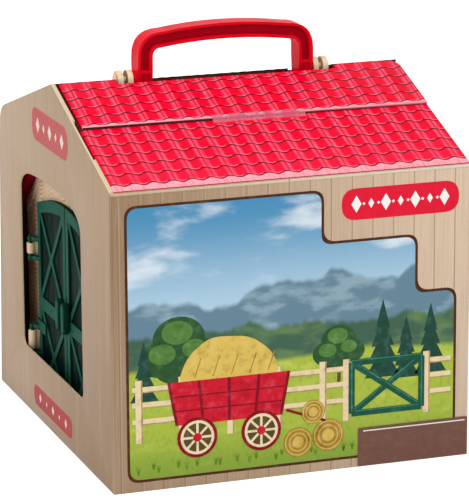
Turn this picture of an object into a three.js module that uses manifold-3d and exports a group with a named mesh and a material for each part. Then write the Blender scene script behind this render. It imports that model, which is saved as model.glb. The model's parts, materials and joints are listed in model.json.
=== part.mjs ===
// Toy stable in its house-shaped carton, as a scene graph of separate pieces.
// Millimetres, +Z up. X runs from the door end (minus) to the window end (plus),
// Y from the front (minus) to the back (plus). The origin is the middle of the carton's
// footprint, on the surface that it stands on.
//
// The stable is two halves that part along the ridge and turn on a knuckle hinge at the
// window end. The carton is a folded sleeve over both, with the carrying handle out of its ridge.

import * as THREE from 'three';
import { mergeVertices } from 'three/addons/utils/BufferGeometryUtils.js';
import Module from 'manifold-3d';

const wasm = await Module();
wasm.setup();

// Clearances
const seatGap = 0.3;
const runGap = 0.5;
const cutOverrun = 2;
const arcSteps = 10;
const roundSteps = 20;

// Carton sleeve
const cartonLength = 270;
const cartonWidth = 303.4;
const eaveHeight = 217.9;
const backEaveHeight = 223.6;
const backLean = 13.7;
const backEaveRound = 15;
const ridgeRoom = 14.7;
const ridgeOffset = -8.3;
const board = 1.6;
const edgeFoldDepth = 9;
const edgeNotchNear = -108.7;
const edgeNotchFar = -57.7;
const flangeDepth = 12;

// Window in the carton's door end
const gableWindowNear = -78;
const gableWindowFar = 84;
const gableWindowSill = 48.5;
const gableWindowShoulder = 173;
const gableWindowCrown = 191;
const gableWindowCorner = 8;

// Slot in the carton's ridge, for the handle and its ears
const slotFrontEdge = -14.5;
const slotBackEdge = 14.3;
const slotEndRoom = 1.4;
const slotSlant = 2;

// Closing flap over the ridge, and the seal on it
const flapReach = 61.4;
const flapInset = 5.6;
const flapCorner = 10;
const sealLeft = -32;
const sealRight = 39;
const sealThickness = 0.4;
const sealUp = 26;
const sealDown = 12;

// Stable: room round it in the carton, walls and floor
const doorRoom = 15;
const hingeRoom = 12;
const eaveRoom = 20.7;
const eaveOverhang = 12;
const wallThickness = 2.6;
const floorThickness = 3;
const partingGap = 0.4;
const plankPitch = 15.8;
const plankGroove = 1;
const plankGrooveDepth = 0.5;

// Stable: height to the top of its ridge beams, roof and ridge
const stableHeight = 253.5;
const beamHalfWidth = 8;
const beamDepth = 13.5;
const beamDoorReach = 6;
const beamWindowReach = 1;
const toothHeight = 3;
const toothLength = 24;
const toothPitch = 48;
const toothFlank = 3;
const roofRidgeDrop = 5;
const roofEaveTop = 147;
const roofThickness = 2.6;
const doorVerge = 8;
const windowVerge = 2.5;
const courseCount = 11;
const courseStep = 1.2;

// Fan-shaped skylight in each roof slope
const skylightMiddle = -1.2;
const skylightHalf = 63;
const skylightRise = 66;
const skylightFootRoom = 11;
const latticeBar = 4.5;
const latticeRow = 34;
const latticePost = 32;

// Doorway and door leaves
const doorwayHalf = 68;
const doorwaySill = 5;
const doorwayCrown = 166;
const leafEdge = 75.4;
const leafGap = 0.8;
const leafBottom = 6.4;
const leafCrown = 173;
const archRadius = 236;
const leafClearance = 0.4;
const leafPanel = 2;
const leafFrameProud = 1.6;
const leafBraceProud = 1.2;
const stileWidth = 6.5;
const topRail = 9;
const midRail = 10;
const midRailTop = 88.5;
const bottomRail = 9;
const braceWidth = 4.6;
const leafGrooves = 3;
const leafGroove = 0.9;
const leafGrooveDepth = 0.6;
const pullLow = 78;
const pullHigh = 103;
const pullOffset = 3.6;
const pullWidth = 7;
const pullDepth = 6;
const pullBevel = 1.2;
const pullStem = 4;

// Door hinges: green loops that turn in cream hooks
const hingeReach = 9;
const hingeY = 78;
const hingeBar = 1.4;
const hookInner = 1.8;
const hookOuter = 3.1;
const hookArm = 2.8;
const hookMouth = 2.2;
const loopThickness = 3;
const loopEye = 2.2;
const upperLoopLow = 116;
const upperLoopHigh = 134;
const upperHookLow = 121;
const upperHookHigh = 129;
const lowerLoopLow = 41;
const lowerLoopHigh = 65;
const lowerHookLow = 45.5;
const lowerHookHigh = 60;

// Windows in the stable's walls
const sideWindowSpread = 54;
const sideWindowWidth = 52;
const sideWindowSill = 45;
const sideWindowHeight = 56;
const endWindowMiddle = 60;
const endWindowWidth = 42;
const endWindowSill = 47;
const endWindowHeight = 52;
const windowRise = 7;
const windowTrim = 5;
const windowTrimProud = 1.2;

// Raised timbers on the door end's gable
const timberWidth = 7;
const timberProud = 1;
const timberRoom = 3;
const tieHeight = 205;

// Knuckle hinge at the window end
const knucklePin = 1.6;
const knuckleBore = 2;
const knuckleOuter = 4;
const knuckleStandoff = 4.4;
const knuckleLow = 8;
const knuckleTopRoom = 49.5;
const knuckleCount = 10;
const knuckleEndGap = 0.6;
const knuckleWeb = 5;
const pinHead = 3;
const pinHeadHeight = 2;
const pinFoot = 4;

// Carrying handle, its ears and pins
const handleMiddle = -1;
const handleHalf = 70;
const handleRise = 41.5;
const handleBow = 3;
const handleDepth = 18;
const handleBevel = 1.2;
const legWidth = 15.5;
const barHeight = 13;
const handleFootRound = 7.8;
const handleShoulder = 9;
const handleOuterRound = 20;
const handleInnerRound = 7;
const webRim = 2.6;
const webRecess = 5;
const webFootRise = 10;
const pivotRise = 12.5;
const earRadius = 7;
const earCheek = 4.2;
const earGroove = 3.2;
const earGrooveDepth = 6;
const earRoot = 18;
const pivotPin = 2.5;
const pivotBore = 2.9;
const pivotHead = 4;
const pivotHeadHeight = 1.2;
const pivotDepth = 8;

// Values worked out from the sizes above
const halfLength = cartonLength / 2;
const halfWidth = cartonWidth / 2;
const doorWallFace = doorRoom - halfLength;
const windowWallFace = halfLength - hingeRoom;
const roofEave = halfWidth - eaveRoom;
const sideWallFace = roofEave - eaveOverhang;
const roofDoorEnd = doorWallFace - doorVerge;
const roofWindowEnd = windowWallFace + windowVerge;
const beamDoorEnd = doorWallFace - beamDoorReach;
const beamWindowEnd = windowWallFace + beamWindowReach;
const skylightFoot = sideWallFace - skylightFootRoom;
const skylightTop = skylightFoot - skylightRise;
const hingeX = doorWallFace - hingeReach;
const mitreGap = seatGap * Math.SQRT2;
const ridgeHeight = stableHeight + ridgeRoom;
const beamTop = stableHeight;
const beamBottom = beamTop - beamDepth;
const roofRidgeTop = stableHeight - roofRidgeDrop;
const pivotHeight = stableHeight + pivotRise;
const handleTop = pivotHeight + handleRise;
const webFoot = pivotHeight + webFootRise;
const knuckleHigh = stableHeight - knuckleTopRoom;
const frontRun = halfWidth + ridgeOffset;
const backEave = halfWidth - backLean;
const leanRate = backLean / backEaveHeight;
const flapLift = board + 2 * seatGap;
const frontPitch = (ridgeHeight - flapLift - eaveHeight) / frontRun;
const backPitch = (ridgeHeight - backEaveHeight) / (backEave - ridgeOffset);
const slopeBoard = board * Math.hypot(1, frontPitch);
const slopeLine = (y) => eaveHeight + (y + halfWidth) * frontPitch;
const flapLine = (y) => slopeLine(y) + flapLift;
const backLine = (y) => backEaveHeight + (backEave - y) * backPitch;
const gableLine = (y) => eaveHeight + (y + halfWidth) * (ridgeHeight - eaveHeight) / frontRun;
const roofRun = roofEave - beamHalfWidth - seatGap;
const roofPitch = (roofRidgeTop - roofEaveTop) / roofRun;
const roofDrop = roofThickness * Math.hypot(1, roofPitch);
const roofUnder = (y) => roofRidgeTop - (Math.abs(y) - beamHalfWidth - seatGap) * roofPitch - roofDrop;
const innerDoorWall = doorWallFace + wallThickness;
const innerWindowWall = windowWallFace - wallThickness;
const innerSideWall = sideWallFace - wallThickness;
const knuckleX = windowWallFace + knuckleStandoff;
const leafBack = doorWallFace - leafClearance;
const leafFace = leafBack - leafPanel;
const frameFace = leafFace - leafFrameProud;
const earInner = handleHalf + runGap;
const earWidth = 2 * earCheek + earGroove;
const slotHalf = earInner + earWidth + seatGap + pivotHeadHeight + slotEndRoom;
const slotFrontLeft = handleMiddle - slotHalf;
const slotFrontRight = handleMiddle + slotHalf;

// Colours, as the photograph shows them
const finishes = {
  board: new THREE.MeshStandardMaterial({ color: 0xcdb797, roughness: 0.8, metalness: 0 }),
  redBoard: new THREE.MeshStandardMaterial({ color: 0xe8123a, roughness: 0.55, metalness: 0 }),
  seal: new THREE.MeshStandardMaterial({ color: 0xf3d3d6, roughness: 0.3, metalness: 0 }),
  cream: new THREE.MeshStandardMaterial({ color: 0xf0dcb6, roughness: 0.5, metalness: 0 }),
  straw: new THREE.MeshStandardMaterial({ color: 0xd9bb62, roughness: 0.8, metalness: 0 }),
  redPlastic: new THREE.MeshStandardMaterial({ color: 0xc3121f, roughness: 0.35, metalness: 0 }),
  handleRed: new THREE.MeshStandardMaterial({ color: 0xd70f23, roughness: 0.2, metalness: 0 }),
  green: new THREE.MeshStandardMaterial({ color: 0x144b3c, roughness: 0.45, metalness: 0 }),
};

// Solids from closed three.js geometry, and back again
function toSolid(geometry) {
  const bare = geometry.index ? geometry.toNonIndexed() : geometry.clone();
  bare.deleteAttribute('normal');
  bare.deleteAttribute('uv');
  const merged = mergeVertices(bare, 1e-4);
  return new wasm.Manifold(new wasm.Mesh({
    numProp: 3,
    vertProperties: new Float32Array(merged.attributes.position.array),
    triVerts: new Uint32Array(merged.index.array),
  }));
}

function toGeometry(solid) {
  const mesh = solid.getMesh();
  const geometry = new THREE.BufferGeometry();
  geometry.setAttribute('position', new THREE.BufferAttribute(new Float32Array(mesh.vertProperties), 3));
  geometry.setIndex(new THREE.BufferAttribute(new Uint32Array(mesh.triVerts), 1));
  return geometry;
}

const join = (first, ...others) => others.reduce((whole, next) => whole.add(next), first);
const cut = (first, ...others) => others.reduce((whole, next) => whole.subtract(next), first);

// A solid drawn as an outline in one plane and extruded along the axis across it.
// Outlines across X are drawn in (Y, Z), across Y in (X, Z) and across Z in (X, Y).
const across = {
  x: new THREE.Matrix4().makeBasis(
    new THREE.Vector3(0, 1, 0), new THREE.Vector3(0, 0, 1), new THREE.Vector3(1, 0, 0)),
  y: new THREE.Matrix4().makeBasis(
    new THREE.Vector3(1, 0, 0), new THREE.Vector3(0, 0, 1), new THREE.Vector3(0, -1, 0)),
  z: new THREE.Matrix4(),
};

function extrusion(outline, axis, from, to, bevel) {
  const low = Math.min(from, to);
  const high = Math.max(from, to);
  const geometry = new THREE.ExtrudeGeometry(outline, {
    depth: high - low - 2 * bevel,
    bevelEnabled: bevel > 0,
    bevelThickness: bevel,
    bevelSize: bevel,
    bevelOffset: -bevel,
    bevelSegments: 2,
    curveSegments: arcSteps,
  });
  geometry.translate(0, 0, axis === 'y' ? bevel - high : bevel + low);
  return geometry.applyMatrix4(across[axis]);
}

const extrude = (outline, axis, from, to, bevel = 0) => toSolid(extrusion(outline, axis, from, to, bevel));

const polygon = (points) => new THREE.Shape(points.map(([u, v]) => new THREE.Vector2(u, v)));
const rectangle = (left, low, right, high) => polygon([[left, low], [right, low], [right, high], [left, high]]);

function block(from, to) {
  return extrude(rectangle(from[0], from[1], to[0], to[1]), 'z', from[2], to[2]);
}

function disc(u, v, radius) {
  const outline = new THREE.Shape();
  outline.absarc(u, v, radius, 0, 2 * Math.PI, false);
  return outline;
}

function post(x, y, radius, low, high) {
  const geometry = new THREE.CylinderGeometry(radius, radius, high - low, roundSteps);
  geometry.rotateX(Math.PI / 2);
  geometry.translate(x, y, (low + high) / 2);
  return toSolid(geometry);
}

// An opening with a straight sill and sides and a bowed head
function bowedOpening(middle, width, sill, height, rise) {
  const outline = new THREE.Shape();
  outline.moveTo(middle - width / 2, sill);
  outline.lineTo(middle + width / 2, sill);
  outline.lineTo(middle + width / 2, sill + height);
  outline.quadraticCurveTo(middle, sill + height + 2 * rise, middle - width / 2, sill + height);
  return outline;
}

// One side of an arched panel: straight foot and sides, head on an arc round the centre line
function archedSide(side, near, far, low, crown, radius) {
  const centre = crown - radius;
  const farAngle = Math.acos(far / radius);
  const nearAngle = Math.acos(near / radius);
  const outline = new THREE.Shape();
  outline.moveTo(side * near, low);
  outline.lineTo(side * far, low);
  if (side > 0) outline.absarc(0, centre, radius, farAngle, nearAngle, false);
  else outline.absarc(0, centre, radius, Math.PI - farAngle, Math.PI - nearAngle, true);
  return outline;
}

const stable = new THREE.Group();
stable.name = 'toy_stable';

function place(group, name, solid, finish) {
  const mesh = new THREE.Mesh(toGeometry(solid), finish.clone());
  mesh.name = name;
  group.add(mesh);
}

// Carton sleeve: mitred walls and ends, and two roof slopes. The back wall leans in
// towards its eave, and the board bends over that eave in a round.
const lean = new THREE.Matrix4().set(
  1, 0, 0, 0,
  0, 1, -leanRate, 0,
  0, 0, 1, 0,
  0, 0, 0, 1);

function cartonWallPlan(side) {
  const outer = side * halfWidth;
  const inner = side * (halfWidth - board);
  return polygon([
    [-halfLength, outer], [halfLength, outer], [halfLength - board, inner], [board - halfLength, inner],
  ]);
}

const cartonFrontWall = () => extrude(cartonWallPlan(-1), 'z', 0, eaveHeight - slopeBoard - seatGap);

function cartonBackWall() {
  const top = backEaveHeight - backEaveRound - board;
  return toSolid(extrusion(cartonWallPlan(1), 'z', 0, top, 0).applyMatrix4(lean));
}

// The round at the back eave, a depth inside the board's face: where it leaves the
// slope, the corner that it cuts, and where it meets the wall
function backEaveCurve(depth) {
  const slant = Math.hypot(1, backPitch);
  const wallSlant = Math.hypot(1, leanRate);
  const cornerY = backEave + depth * (leanRate * slant - wallSlant) / (1 - leanRate * backPitch);
  const high = backEave - backEaveRound;
  return {
    slope: [high - depth * backPitch / slant, backLine(high) - depth / slant],
    corner: [cornerY, backLine(cornerY) - depth * slant],
    wall: [
      backEave + leanRate * backEaveRound - depth / wallSlant,
      backEaveHeight - backEaveRound - depth * leanRate / wallSlant,
    ],
  };
}

function gableOutline(drop) {
  const round = backEaveCurve(drop);
  const outline = new THREE.Shape();
  outline.moveTo(-halfWidth, 0);
  outline.lineTo(halfWidth, 0);
  outline.lineTo(halfWidth - leanRate * (round.wall[1] - board), round.wall[1] - board);
  outline.lineTo(...round.wall);
  outline.quadraticCurveTo(...round.corner, ...round.slope);
  outline.lineTo(ridgeOffset, ridgeHeight - (drop > 0 ? flapLift + drop : 0));
  outline.lineTo(-halfWidth, eaveHeight - drop);
  return outline;
}

function mitredEnd(side) {
  const outer = side * halfLength;
  const inner = side * (halfLength - board);
  const wide = halfWidth - mitreGap;
  const high = ridgeHeight + cutOverrun;
  const toFront = polygon([[outer, -wide], [outer, halfWidth], [inner, halfWidth], [inner, board - wide]]);
  const toBack = polygon([[outer, -halfWidth], [outer, wide], [inner, wide - board], [inner, -halfWidth]]);
  return extrude(toFront, 'z', 0, high).intersect(toSolid(extrusion(toBack, 'z', 0, high, 0).applyMatrix4(lean)));
}

function gableWindow() {
  const near = gableWindowNear;
  const far = gableWindowFar;
  const middle = (near + far) / 2;
  const corner = gableWindowCorner;
  const headNear = (near + middle) / 2;
  const headFar = (far + middle) / 2;
  const outline = new THREE.Shape();
  outline.moveTo(near + corner, gableWindowSill);
  outline.lineTo(far - corner, gableWindowSill);
  outline.quadraticCurveTo(far, gableWindowSill, far, gableWindowSill + corner);
  outline.lineTo(far, gableWindowShoulder);
  outline.quadraticCurveTo(far - corner / 2, gableWindowCrown - corner / 2, headFar, gableWindowCrown - corner / 4);
  outline.quadraticCurveTo(middle, gableWindowCrown + corner / 4, headNear, gableWindowCrown - corner / 4);
  outline.quadraticCurveTo(near + corner / 2, gableWindowCrown - corner / 2, near, gableWindowShoulder);
  outline.lineTo(near, gableWindowSill + corner);
  outline.quadraticCurveTo(near, gableWindowSill, near + corner, gableWindowSill);
  return outline;
}

// A strip along one roof line, between two places across the gable and a depth below the line
function slopeStrip(near, far, top, depth) {
  return polygon([[near, top(near)], [far, top(far)], [far, top(far) - depth], [near, top(near) - depth]]);
}

function cartonDoorEnd() {
  const outer = -halfLength;
  const inner = board - halfLength;
  const wide = halfWidth - board - seatGap;
  const plate = extrude(gableOutline(0), 'x', outer, inner);
  const fold = (near, far, line) => extrude(
    slopeStrip(near, far, line, edgeFoldDepth), 'x', outer + board / 2, inner + board);
  const folds = [
    fold(-wide, edgeNotchNear, gableLine),
    fold(edgeNotchFar, ridgeOffset, gableLine),
    fold(ridgeOffset, backEave - backEaveRound, backLine),
  ];
  const window = extrude(gableWindow(), 'x', outer - cutOverrun, inner + cutOverrun);
  return join(cut(plate.intersect(mitredEnd(-1)), window), ...folds);
}

function cartonPlainEnd() {
  const plate = extrude(gableOutline(slopeBoard + seatGap), 'x', halfLength - board, halfLength);
  return plate.intersect(mitredEnd(1));
}

function slotCut() {
  const plan = polygon([
    [slotFrontLeft, slotFrontEdge], [slotFrontRight, slotFrontEdge],
    [slotFrontRight - slotSlant, slotBackEdge], [slotFrontLeft + slotSlant, slotBackEdge],
  ]);
  return extrude(plan, 'z', eaveHeight, ridgeHeight + cutOverrun);
}

const slopeDoorEnd = 2 * board + seatGap - halfLength;

function cartonSlope(outline, near, far, line) {
  const panel = extrude(outline, 'x', slopeDoorEnd, halfLength);
  const doorFlange = extrude(slopeStrip(near, far, line, flangeDepth), 'x', slopeDoorEnd, slopeDoorEnd + board);
  const farFlange = halfLength - board - seatGap;
  const plainFlange = extrude(slopeStrip(near, far, line, flangeDepth), 'x', farFlange - board, farFlange);
  return cut(join(panel, doorFlange, plainFlange), slotCut());
}

function cartonFrontSlope() {
  const far = ridgeOffset - seatGap;
  const outline = slopeStrip(-halfWidth, far, slopeLine, slopeBoard);
  return cartonSlope(outline, board + seatGap - halfWidth, far, slopeLine);
}

function cartonBackSlope() {
  const face = backEaveCurve(0);
  const inside = backEaveCurve(board);
  const outline = new THREE.Shape();
  outline.moveTo(ridgeOffset, backLine(ridgeOffset));
  outline.lineTo(...face.slope);
  outline.quadraticCurveTo(...face.corner, ...face.wall);
  outline.lineTo(...inside.wall);
  outline.quadraticCurveTo(...inside.corner, ...inside.slope);
  outline.lineTo(ridgeOffset, backLine(ridgeOffset) - slopeBoard);
  return cartonSlope(outline, ridgeOffset, backEave - backEaveRound, backLine);
}

function ridgeFlap() {
  const far = ridgeOffset - seatGap;
  const near = ridgeOffset - flapReach;
  const panel = extrude(slopeStrip(near, far, flapLine, slopeBoard), 'x', -halfLength, halfLength);
  const plan = new THREE.Shape();
  plan.moveTo(flapInset - halfLength, near - cutOverrun);
  plan.lineTo(halfLength, near - cutOverrun);
  plan.lineTo(halfLength, far - flapCorner);
  plan.quadraticCurveTo(halfLength, far, halfLength - flapCorner, far);
  plan.lineTo(flapInset - halfLength, far);
  return cut(panel.intersect(extrude(plan, 'z', 0, ridgeHeight + cutOverrun)), slotCut());
}

function sealLabel() {
  const edge = ridgeOffset - flapReach;
  const lift = sealThickness + seatGap;
  const onFlap = (y) => flapLine(y) + lift;
  const onSlope = (y) => slopeLine(y) + lift;
  const top = extrude(slopeStrip(edge - lift, edge + sealUp, onFlap, sealThickness), 'x', sealLeft, sealRight);
  const drop = extrude(polygon([
    [edge - lift, onFlap(edge - lift)], [edge - lift, onSlope(edge - lift) - sealThickness],
    [edge - seatGap, onSlope(edge - seatGap) - sealThickness], [edge - seatGap, onFlap(edge - seatGap)],
  ]), 'x', sealLeft, sealRight);
  const foot = extrude(
    slopeStrip(edge - lift - sealDown, edge - seatGap, onSlope, sealThickness), 'x', sealLeft, sealRight);
  return join(top, drop, foot);
}

// Stable walls
function sideWall(side) {
  const outer = side * sideWallFace;
  const inner = side * innerSideWall;
  const top = roofUnder(sideWallFace) - seatGap;
  const left = innerDoorWall + seatGap;
  const right = innerWindowWall - seatGap;
  const wall = extrude(rectangle(left, 0, right, top), 'y', outer, inner);
  const middles = [-1, 1].map((place) => (left + right) / 2 + place * sideWindowSpread);
  const trims = middles.map((middle) => extrude(
    bowedOpening(middle, sideWindowWidth + 2 * windowTrim, sideWindowSill - windowTrim,
      sideWindowHeight + windowTrim, windowRise + windowTrim / 2),
    'y', side * (sideWallFace + windowTrimProud), inner));
  const windows = middles.map((middle) => extrude(
    bowedOpening(middle, sideWindowWidth, sideWindowSill, sideWindowHeight, windowRise),
    'y', side * (sideWallFace + windowTrimProud + cutOverrun), inner - side * cutOverrun));
  const grooves = [];
  for (let x = left + plankPitch; x < right - plankPitch / 2; x += plankPitch) {
    grooves.push(extrude(
      rectangle(x - plankGroove / 2, plankPitch / 2, x + plankGroove / 2, top + cutOverrun), 'y',
      side * (sideWallFace - plankGrooveDepth), side * (sideWallFace + cutOverrun)));
  }
  return cut(join(cut(wall, ...grooves), ...trims), ...windows);
}

function halfGable(side) {
  const near = partingGap;
  const shoulder = beamHalfWidth + seatGap;
  return polygon([
    [side * near, 0], [side * sideWallFace, 0],
    [side * sideWallFace, roofUnder(sideWallFace) - seatGap],
    [side * shoulder, roofUnder(shoulder) - seatGap],
    [side * shoulder, beamBottom - seatGap], [side * near, beamBottom - seatGap],
  ]);
}

function doorEnd(side) {
  const wall = extrude(halfGable(side), 'x', doorWallFace, innerDoorWall);
  const doorway = extrude(
    archedSide(side, 0, doorwayHalf, doorwaySill, doorwayCrown, archRadius),
    'x', doorWallFace - cutOverrun, innerDoorWall + cutOverrun);
  const hooks = [
    doorHook(side, upperHookLow, upperHookHigh, true),
    doorHook(side, lowerHookLow, lowerHookHigh, false),
  ];
  return join(cut(wall, doorway), ...gableTimbers(side), ...hooks);
}

// Raised timbers on the gable: a post beside the parting edge, a rafter and a tie
function gableTimbers(side) {
  const top = (y) => roofUnder(y) - timberRoom;
  const edge = side * beamHalfWidth;
  const mast = edge + side * timberWidth;
  const tieEnd = side * (sideWallFace - (tieHeight - top(sideWallFace)) / roofPitch);
  const outlines = [
    polygon([[edge, leafCrown + timberRoom], [mast, leafCrown + timberRoom], [mast, top(mast)], [edge, top(edge)]]),
    slopeStrip(edge, side * (sideWallFace - timberRoom), top, timberWidth * Math.hypot(1, roofPitch)),
    polygon([[edge, tieHeight - timberWidth], [tieEnd, tieHeight - timberWidth], [tieEnd, tieHeight], [edge, tieHeight]]),
  ];
  return outlines.map((outline) => extrude(outline, 'x', doorWallFace - timberProud, innerDoorWall));
}

// A hook on the door wall, round the vertical bar of a hinge loop
function doorHook(side, low, high, open) {
  const y = side * hingeY;
  const arm = block([hingeX, y - hookArm / 2, low], [doorWallFace + wallThickness / 2, y + hookArm / 2, high]);
  const ring = join(post(hingeX, y, hookOuter, low, high), arm);
  const bore = post(hingeX, y, hookInner, low - cutOverrun, high + cutOverrun);
  if (!open) return cut(ring, bore);
  const mouth = block(
    [hingeX - hookOuter - cutOverrun, y - hookMouth / 2, low - cutOverrun],
    [hingeX, y + hookMouth / 2, high + cutOverrun]);
  return cut(ring, bore, mouth);
}

function windowEnd(side) {
  const wall = extrude(halfGable(side), 'x', innerWindowWall, windowWallFace);
  const trim = extrude(
    bowedOpening(side * endWindowMiddle, endWindowWidth + 2 * windowTrim, endWindowSill - windowTrim,
      endWindowHeight + windowTrim, windowRise + windowTrim / 2),
    'x', innerWindowWall, windowWallFace + windowTrimProud);
  const window = extrude(
    bowedOpening(side * endWindowMiddle, endWindowWidth, endWindowSill, endWindowHeight, windowRise),
    'x', innerWindowWall - cutOverrun, windowWallFace + windowTrimProud + cutOverrun);
  const knuckles = [];
  const pitch = (knuckleHigh - knuckleLow) / knuckleCount;
  for (let index = side < 0 ? 0 : 1; index < knuckleCount; index += 2) {
    const low = knuckleLow + index * pitch + knuckleEndGap / 2;
    const high = low + pitch - knuckleEndGap;
    const web = block(
      [windowWallFace - wallThickness / 2, Math.min(side * partingGap, side * knuckleWeb), low],
      [knuckleX, Math.max(side * partingGap, side * knuckleWeb), high]);
    const eye = join(post(knuckleX, 0, knuckleOuter, low, high), web.intersect(
      block([innerWindowWall, -knuckleWeb, low], [knuckleX, knuckleWeb, high])));
    knuckles.push(cut(eye, post(knuckleX, 0, knuckleBore, low - cutOverrun, high + cutOverrun)));
  }
  return join(cut(join(wall, trim), window), ...knuckles);
}

function hingePin() {
  return join(
    post(knuckleX, 0, knucklePin, pinFoot, knuckleHigh + knuckleEndGap),
    post(knuckleX, 0, pinHead, knuckleHigh + knuckleEndGap / 2, knuckleHigh + pinHeadHeight));
}

function floorPlate(side) {
  const near = side * partingGap;
  const far = side * (innerSideWall - seatGap);
  return extrude(rectangle(innerDoorWall + seatGap, Math.min(near, far), innerWindowWall - seatGap,
    Math.max(near, far)), 'z', 0, floorThickness);
}

// Roof slope in stepped tile courses, with an opening for the skylight
function roofOutline(side) {
  const start = beamHalfWidth + seatGap;
  const pitch = roofRun / courseCount;
  const points = [];
  for (let course = 0; course < courseCount; course += 1) {
    const high = start + course * pitch;
    const low = high + pitch;
    points.push([side * high, roofRidgeTop - (high - start) * roofPitch]);
    points.push([side * low, roofRidgeTop - (low - start) * roofPitch + courseStep]);
  }
  points.push([side * roofEave, roofUnder(roofEave)]);
  points.push([side * start, roofUnder(start)]);
  return polygon(points);
}

// The skylight's outline in plan: half an ellipse that stands on its foot
function fanOutline(side, inset) {
  const foot = skylightFoot - inset;
  const quarter = Math.PI / 2;
  const from = side > 0 ? Math.PI : 0;
  const outline = new THREE.Shape();
  for (const start of [from, from + quarter]) {
    outline.absellipse(skylightMiddle, side * foot, skylightHalf - inset, foot - skylightTop - inset,
      start, start + quarter, false, 0);
  }
  return outline;
}

const roofCutTop = roofRidgeTop + courseStep + cutOverrun;

function roofSlope(side) {
  const slope = extrude(roofOutline(side), 'x', roofDoorEnd, roofWindowEnd);
  return cut(slope, extrude(fanOutline(side, 0), 'z', 0, roofCutTop));
}

// Lattice of six panes: two under the arch, and four in the row below
function skylight(side) {
  const start = beamHalfWidth + seatGap;
  const top = (y) => roofRidgeTop - (Math.abs(y) - start) * roofPitch;
  const ends = [side * skylightTop, side * skylightFoot].sort((a, b) => a - b);
  const sheet = extrude(slopeStrip(...ends, top, roofDrop), 'x',
    skylightMiddle - skylightHalf, skylightMiddle + skylightHalf);
  const fan = extrude(fanOutline(side, seatGap), 'z', 0, roofCutTop);
  const light = extrude(fanOutline(side, latticeBar), 'z', 0, roofCutTop);
  const half = latticeBar / 2;
  const row = skylightFoot - latticeRow;
  const pane = (left, right, high, low) => light.intersect(block(
    [skylightMiddle + left, Math.min(side * high, side * low), 0],
    [skylightMiddle + right, Math.max(side * high, side * low), roofCutTop]));
  const panes = [
    pane(-skylightHalf, -half, skylightTop, row - half),
    pane(half, skylightHalf, skylightTop, row - half),
    pane(-skylightHalf, -latticePost - half, row + half, skylightFoot),
    pane(half - latticePost, -half, row + half, skylightFoot),
    pane(half, latticePost - half, row + half, skylightFoot),
    pane(latticePost + half, skylightHalf, row + half, skylightFoot),
  ];
  return cut(sheet.intersect(fan), ...panes);
}

// Ridge beam with a row of teeth on top; the front one carries the ears of the handle
function ridgeBeam(side) {
  const near = side * partingGap;
  const far = side * beamHalfWidth;
  const beam = extrude(rectangle(beamDoorEnd, beamBottom, beamWindowEnd, beamTop), 'y', near, far);
  const teeth = [];
  const count = Math.floor((beamWindowEnd - beamDoorEnd) / toothPitch);
  const margin = (beamWindowEnd - beamDoorEnd - (count - 1) * toothPitch - toothLength) / 2;
  for (let index = 0; index < count; index += 1) {
    const left = beamDoorEnd + margin + index * toothPitch;
    const nearEar = Math.abs(Math.abs(left + toothLength / 2 - handleMiddle) - handleHalf) < earWidth + toothLength;
    if (!nearEar) {
      teeth.push(extrude(polygon([
        [left, beamTop - toothHeight], [left + toothLength, beamTop - toothHeight], [left + toothLength, beamTop],
        [left + toothLength - toothFlank, beamTop + toothHeight], [left + toothFlank, beamTop + toothHeight],
        [left, beamTop],
      ]), 'y', near, far));
    }
  }
  const withTeeth = join(beam, ...teeth);
  return side < 0 ? join(withTeeth, handleEar(-1), handleEar(1)) : withTeeth;
}

function handleEar(end) {
  const outline = new THREE.Shape();
  outline.moveTo(-beamHalfWidth, pivotHeight - earRoot);
  outline.lineTo(-partingGap, pivotHeight - earRoot);
  outline.lineTo(-partingGap, beamTop + runGap);
  outline.lineTo(earRadius, beamTop + runGap);
  outline.absarc(0, pivotHeight, earRadius, 0, Math.PI, false);
  outline.lineTo(-earRadius, beamTop);
  outline.lineTo(-beamHalfWidth, beamTop);
  const inner = handleMiddle + end * earInner;
  const outer = inner + end * earWidth;
  const whole = extrude(outline, 'x', inner, outer);
  const grooveFrom = inner + end * earCheek;
  const grooveTo = grooveFrom + end * earGroove;
  const groove = extrude(
    rectangle(-beamHalfWidth - cutOverrun, pivotHeight - earGrooveDepth, earRadius + cutOverrun,
      pivotHeight + earRadius + cutOverrun), 'x', grooveFrom, grooveTo);
  const bore = extrude(disc(0, pivotHeight, pivotBore), 'x', inner - end * cutOverrun, outer + end * cutOverrun);
  return cut(whole, groove, bore);
}

// The handle: one bowed bar and two legs, of I section, with a bored block at each foot
function handleOutline(inset, foot) {
  const half = handleHalf - inset;
  const innerHalf = handleHalf - legWidth + inset;
  const corner = handleTop - handleBow - inset;
  const innerCorner = handleTop - handleBow - barHeight + inset;
  const round = handleOuterRound - inset;
  const innerRound = handleInnerRound + inset;
  const m = handleMiddle;
  const outline = new THREE.Shape();
  outline.moveTo(m - half, foot);
  outline.lineTo(m - half, corner - round);
  outline.quadraticCurveTo(m - half, corner, m - half + round, corner);
  outline.quadraticCurveTo(m, corner + 2 * handleBow, m + half - round, corner);
  outline.quadraticCurveTo(m + half, corner, m + half, corner - round);
  outline.lineTo(m + half, foot);
  outline.lineTo(m + innerHalf, foot);
  outline.lineTo(m + innerHalf, innerCorner - innerRound);
  outline.quadraticCurveTo(m + innerHalf, innerCorner, m + innerHalf - innerRound, innerCorner);
  outline.quadraticCurveTo(m, innerCorner + 2 * handleBow, m - innerHalf + innerRound, innerCorner);
  outline.quadraticCurveTo(m - innerHalf, innerCorner, m - innerHalf, innerCorner - innerRound);
  outline.lineTo(m - innerHalf, foot);
  return outline;
}

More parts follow.
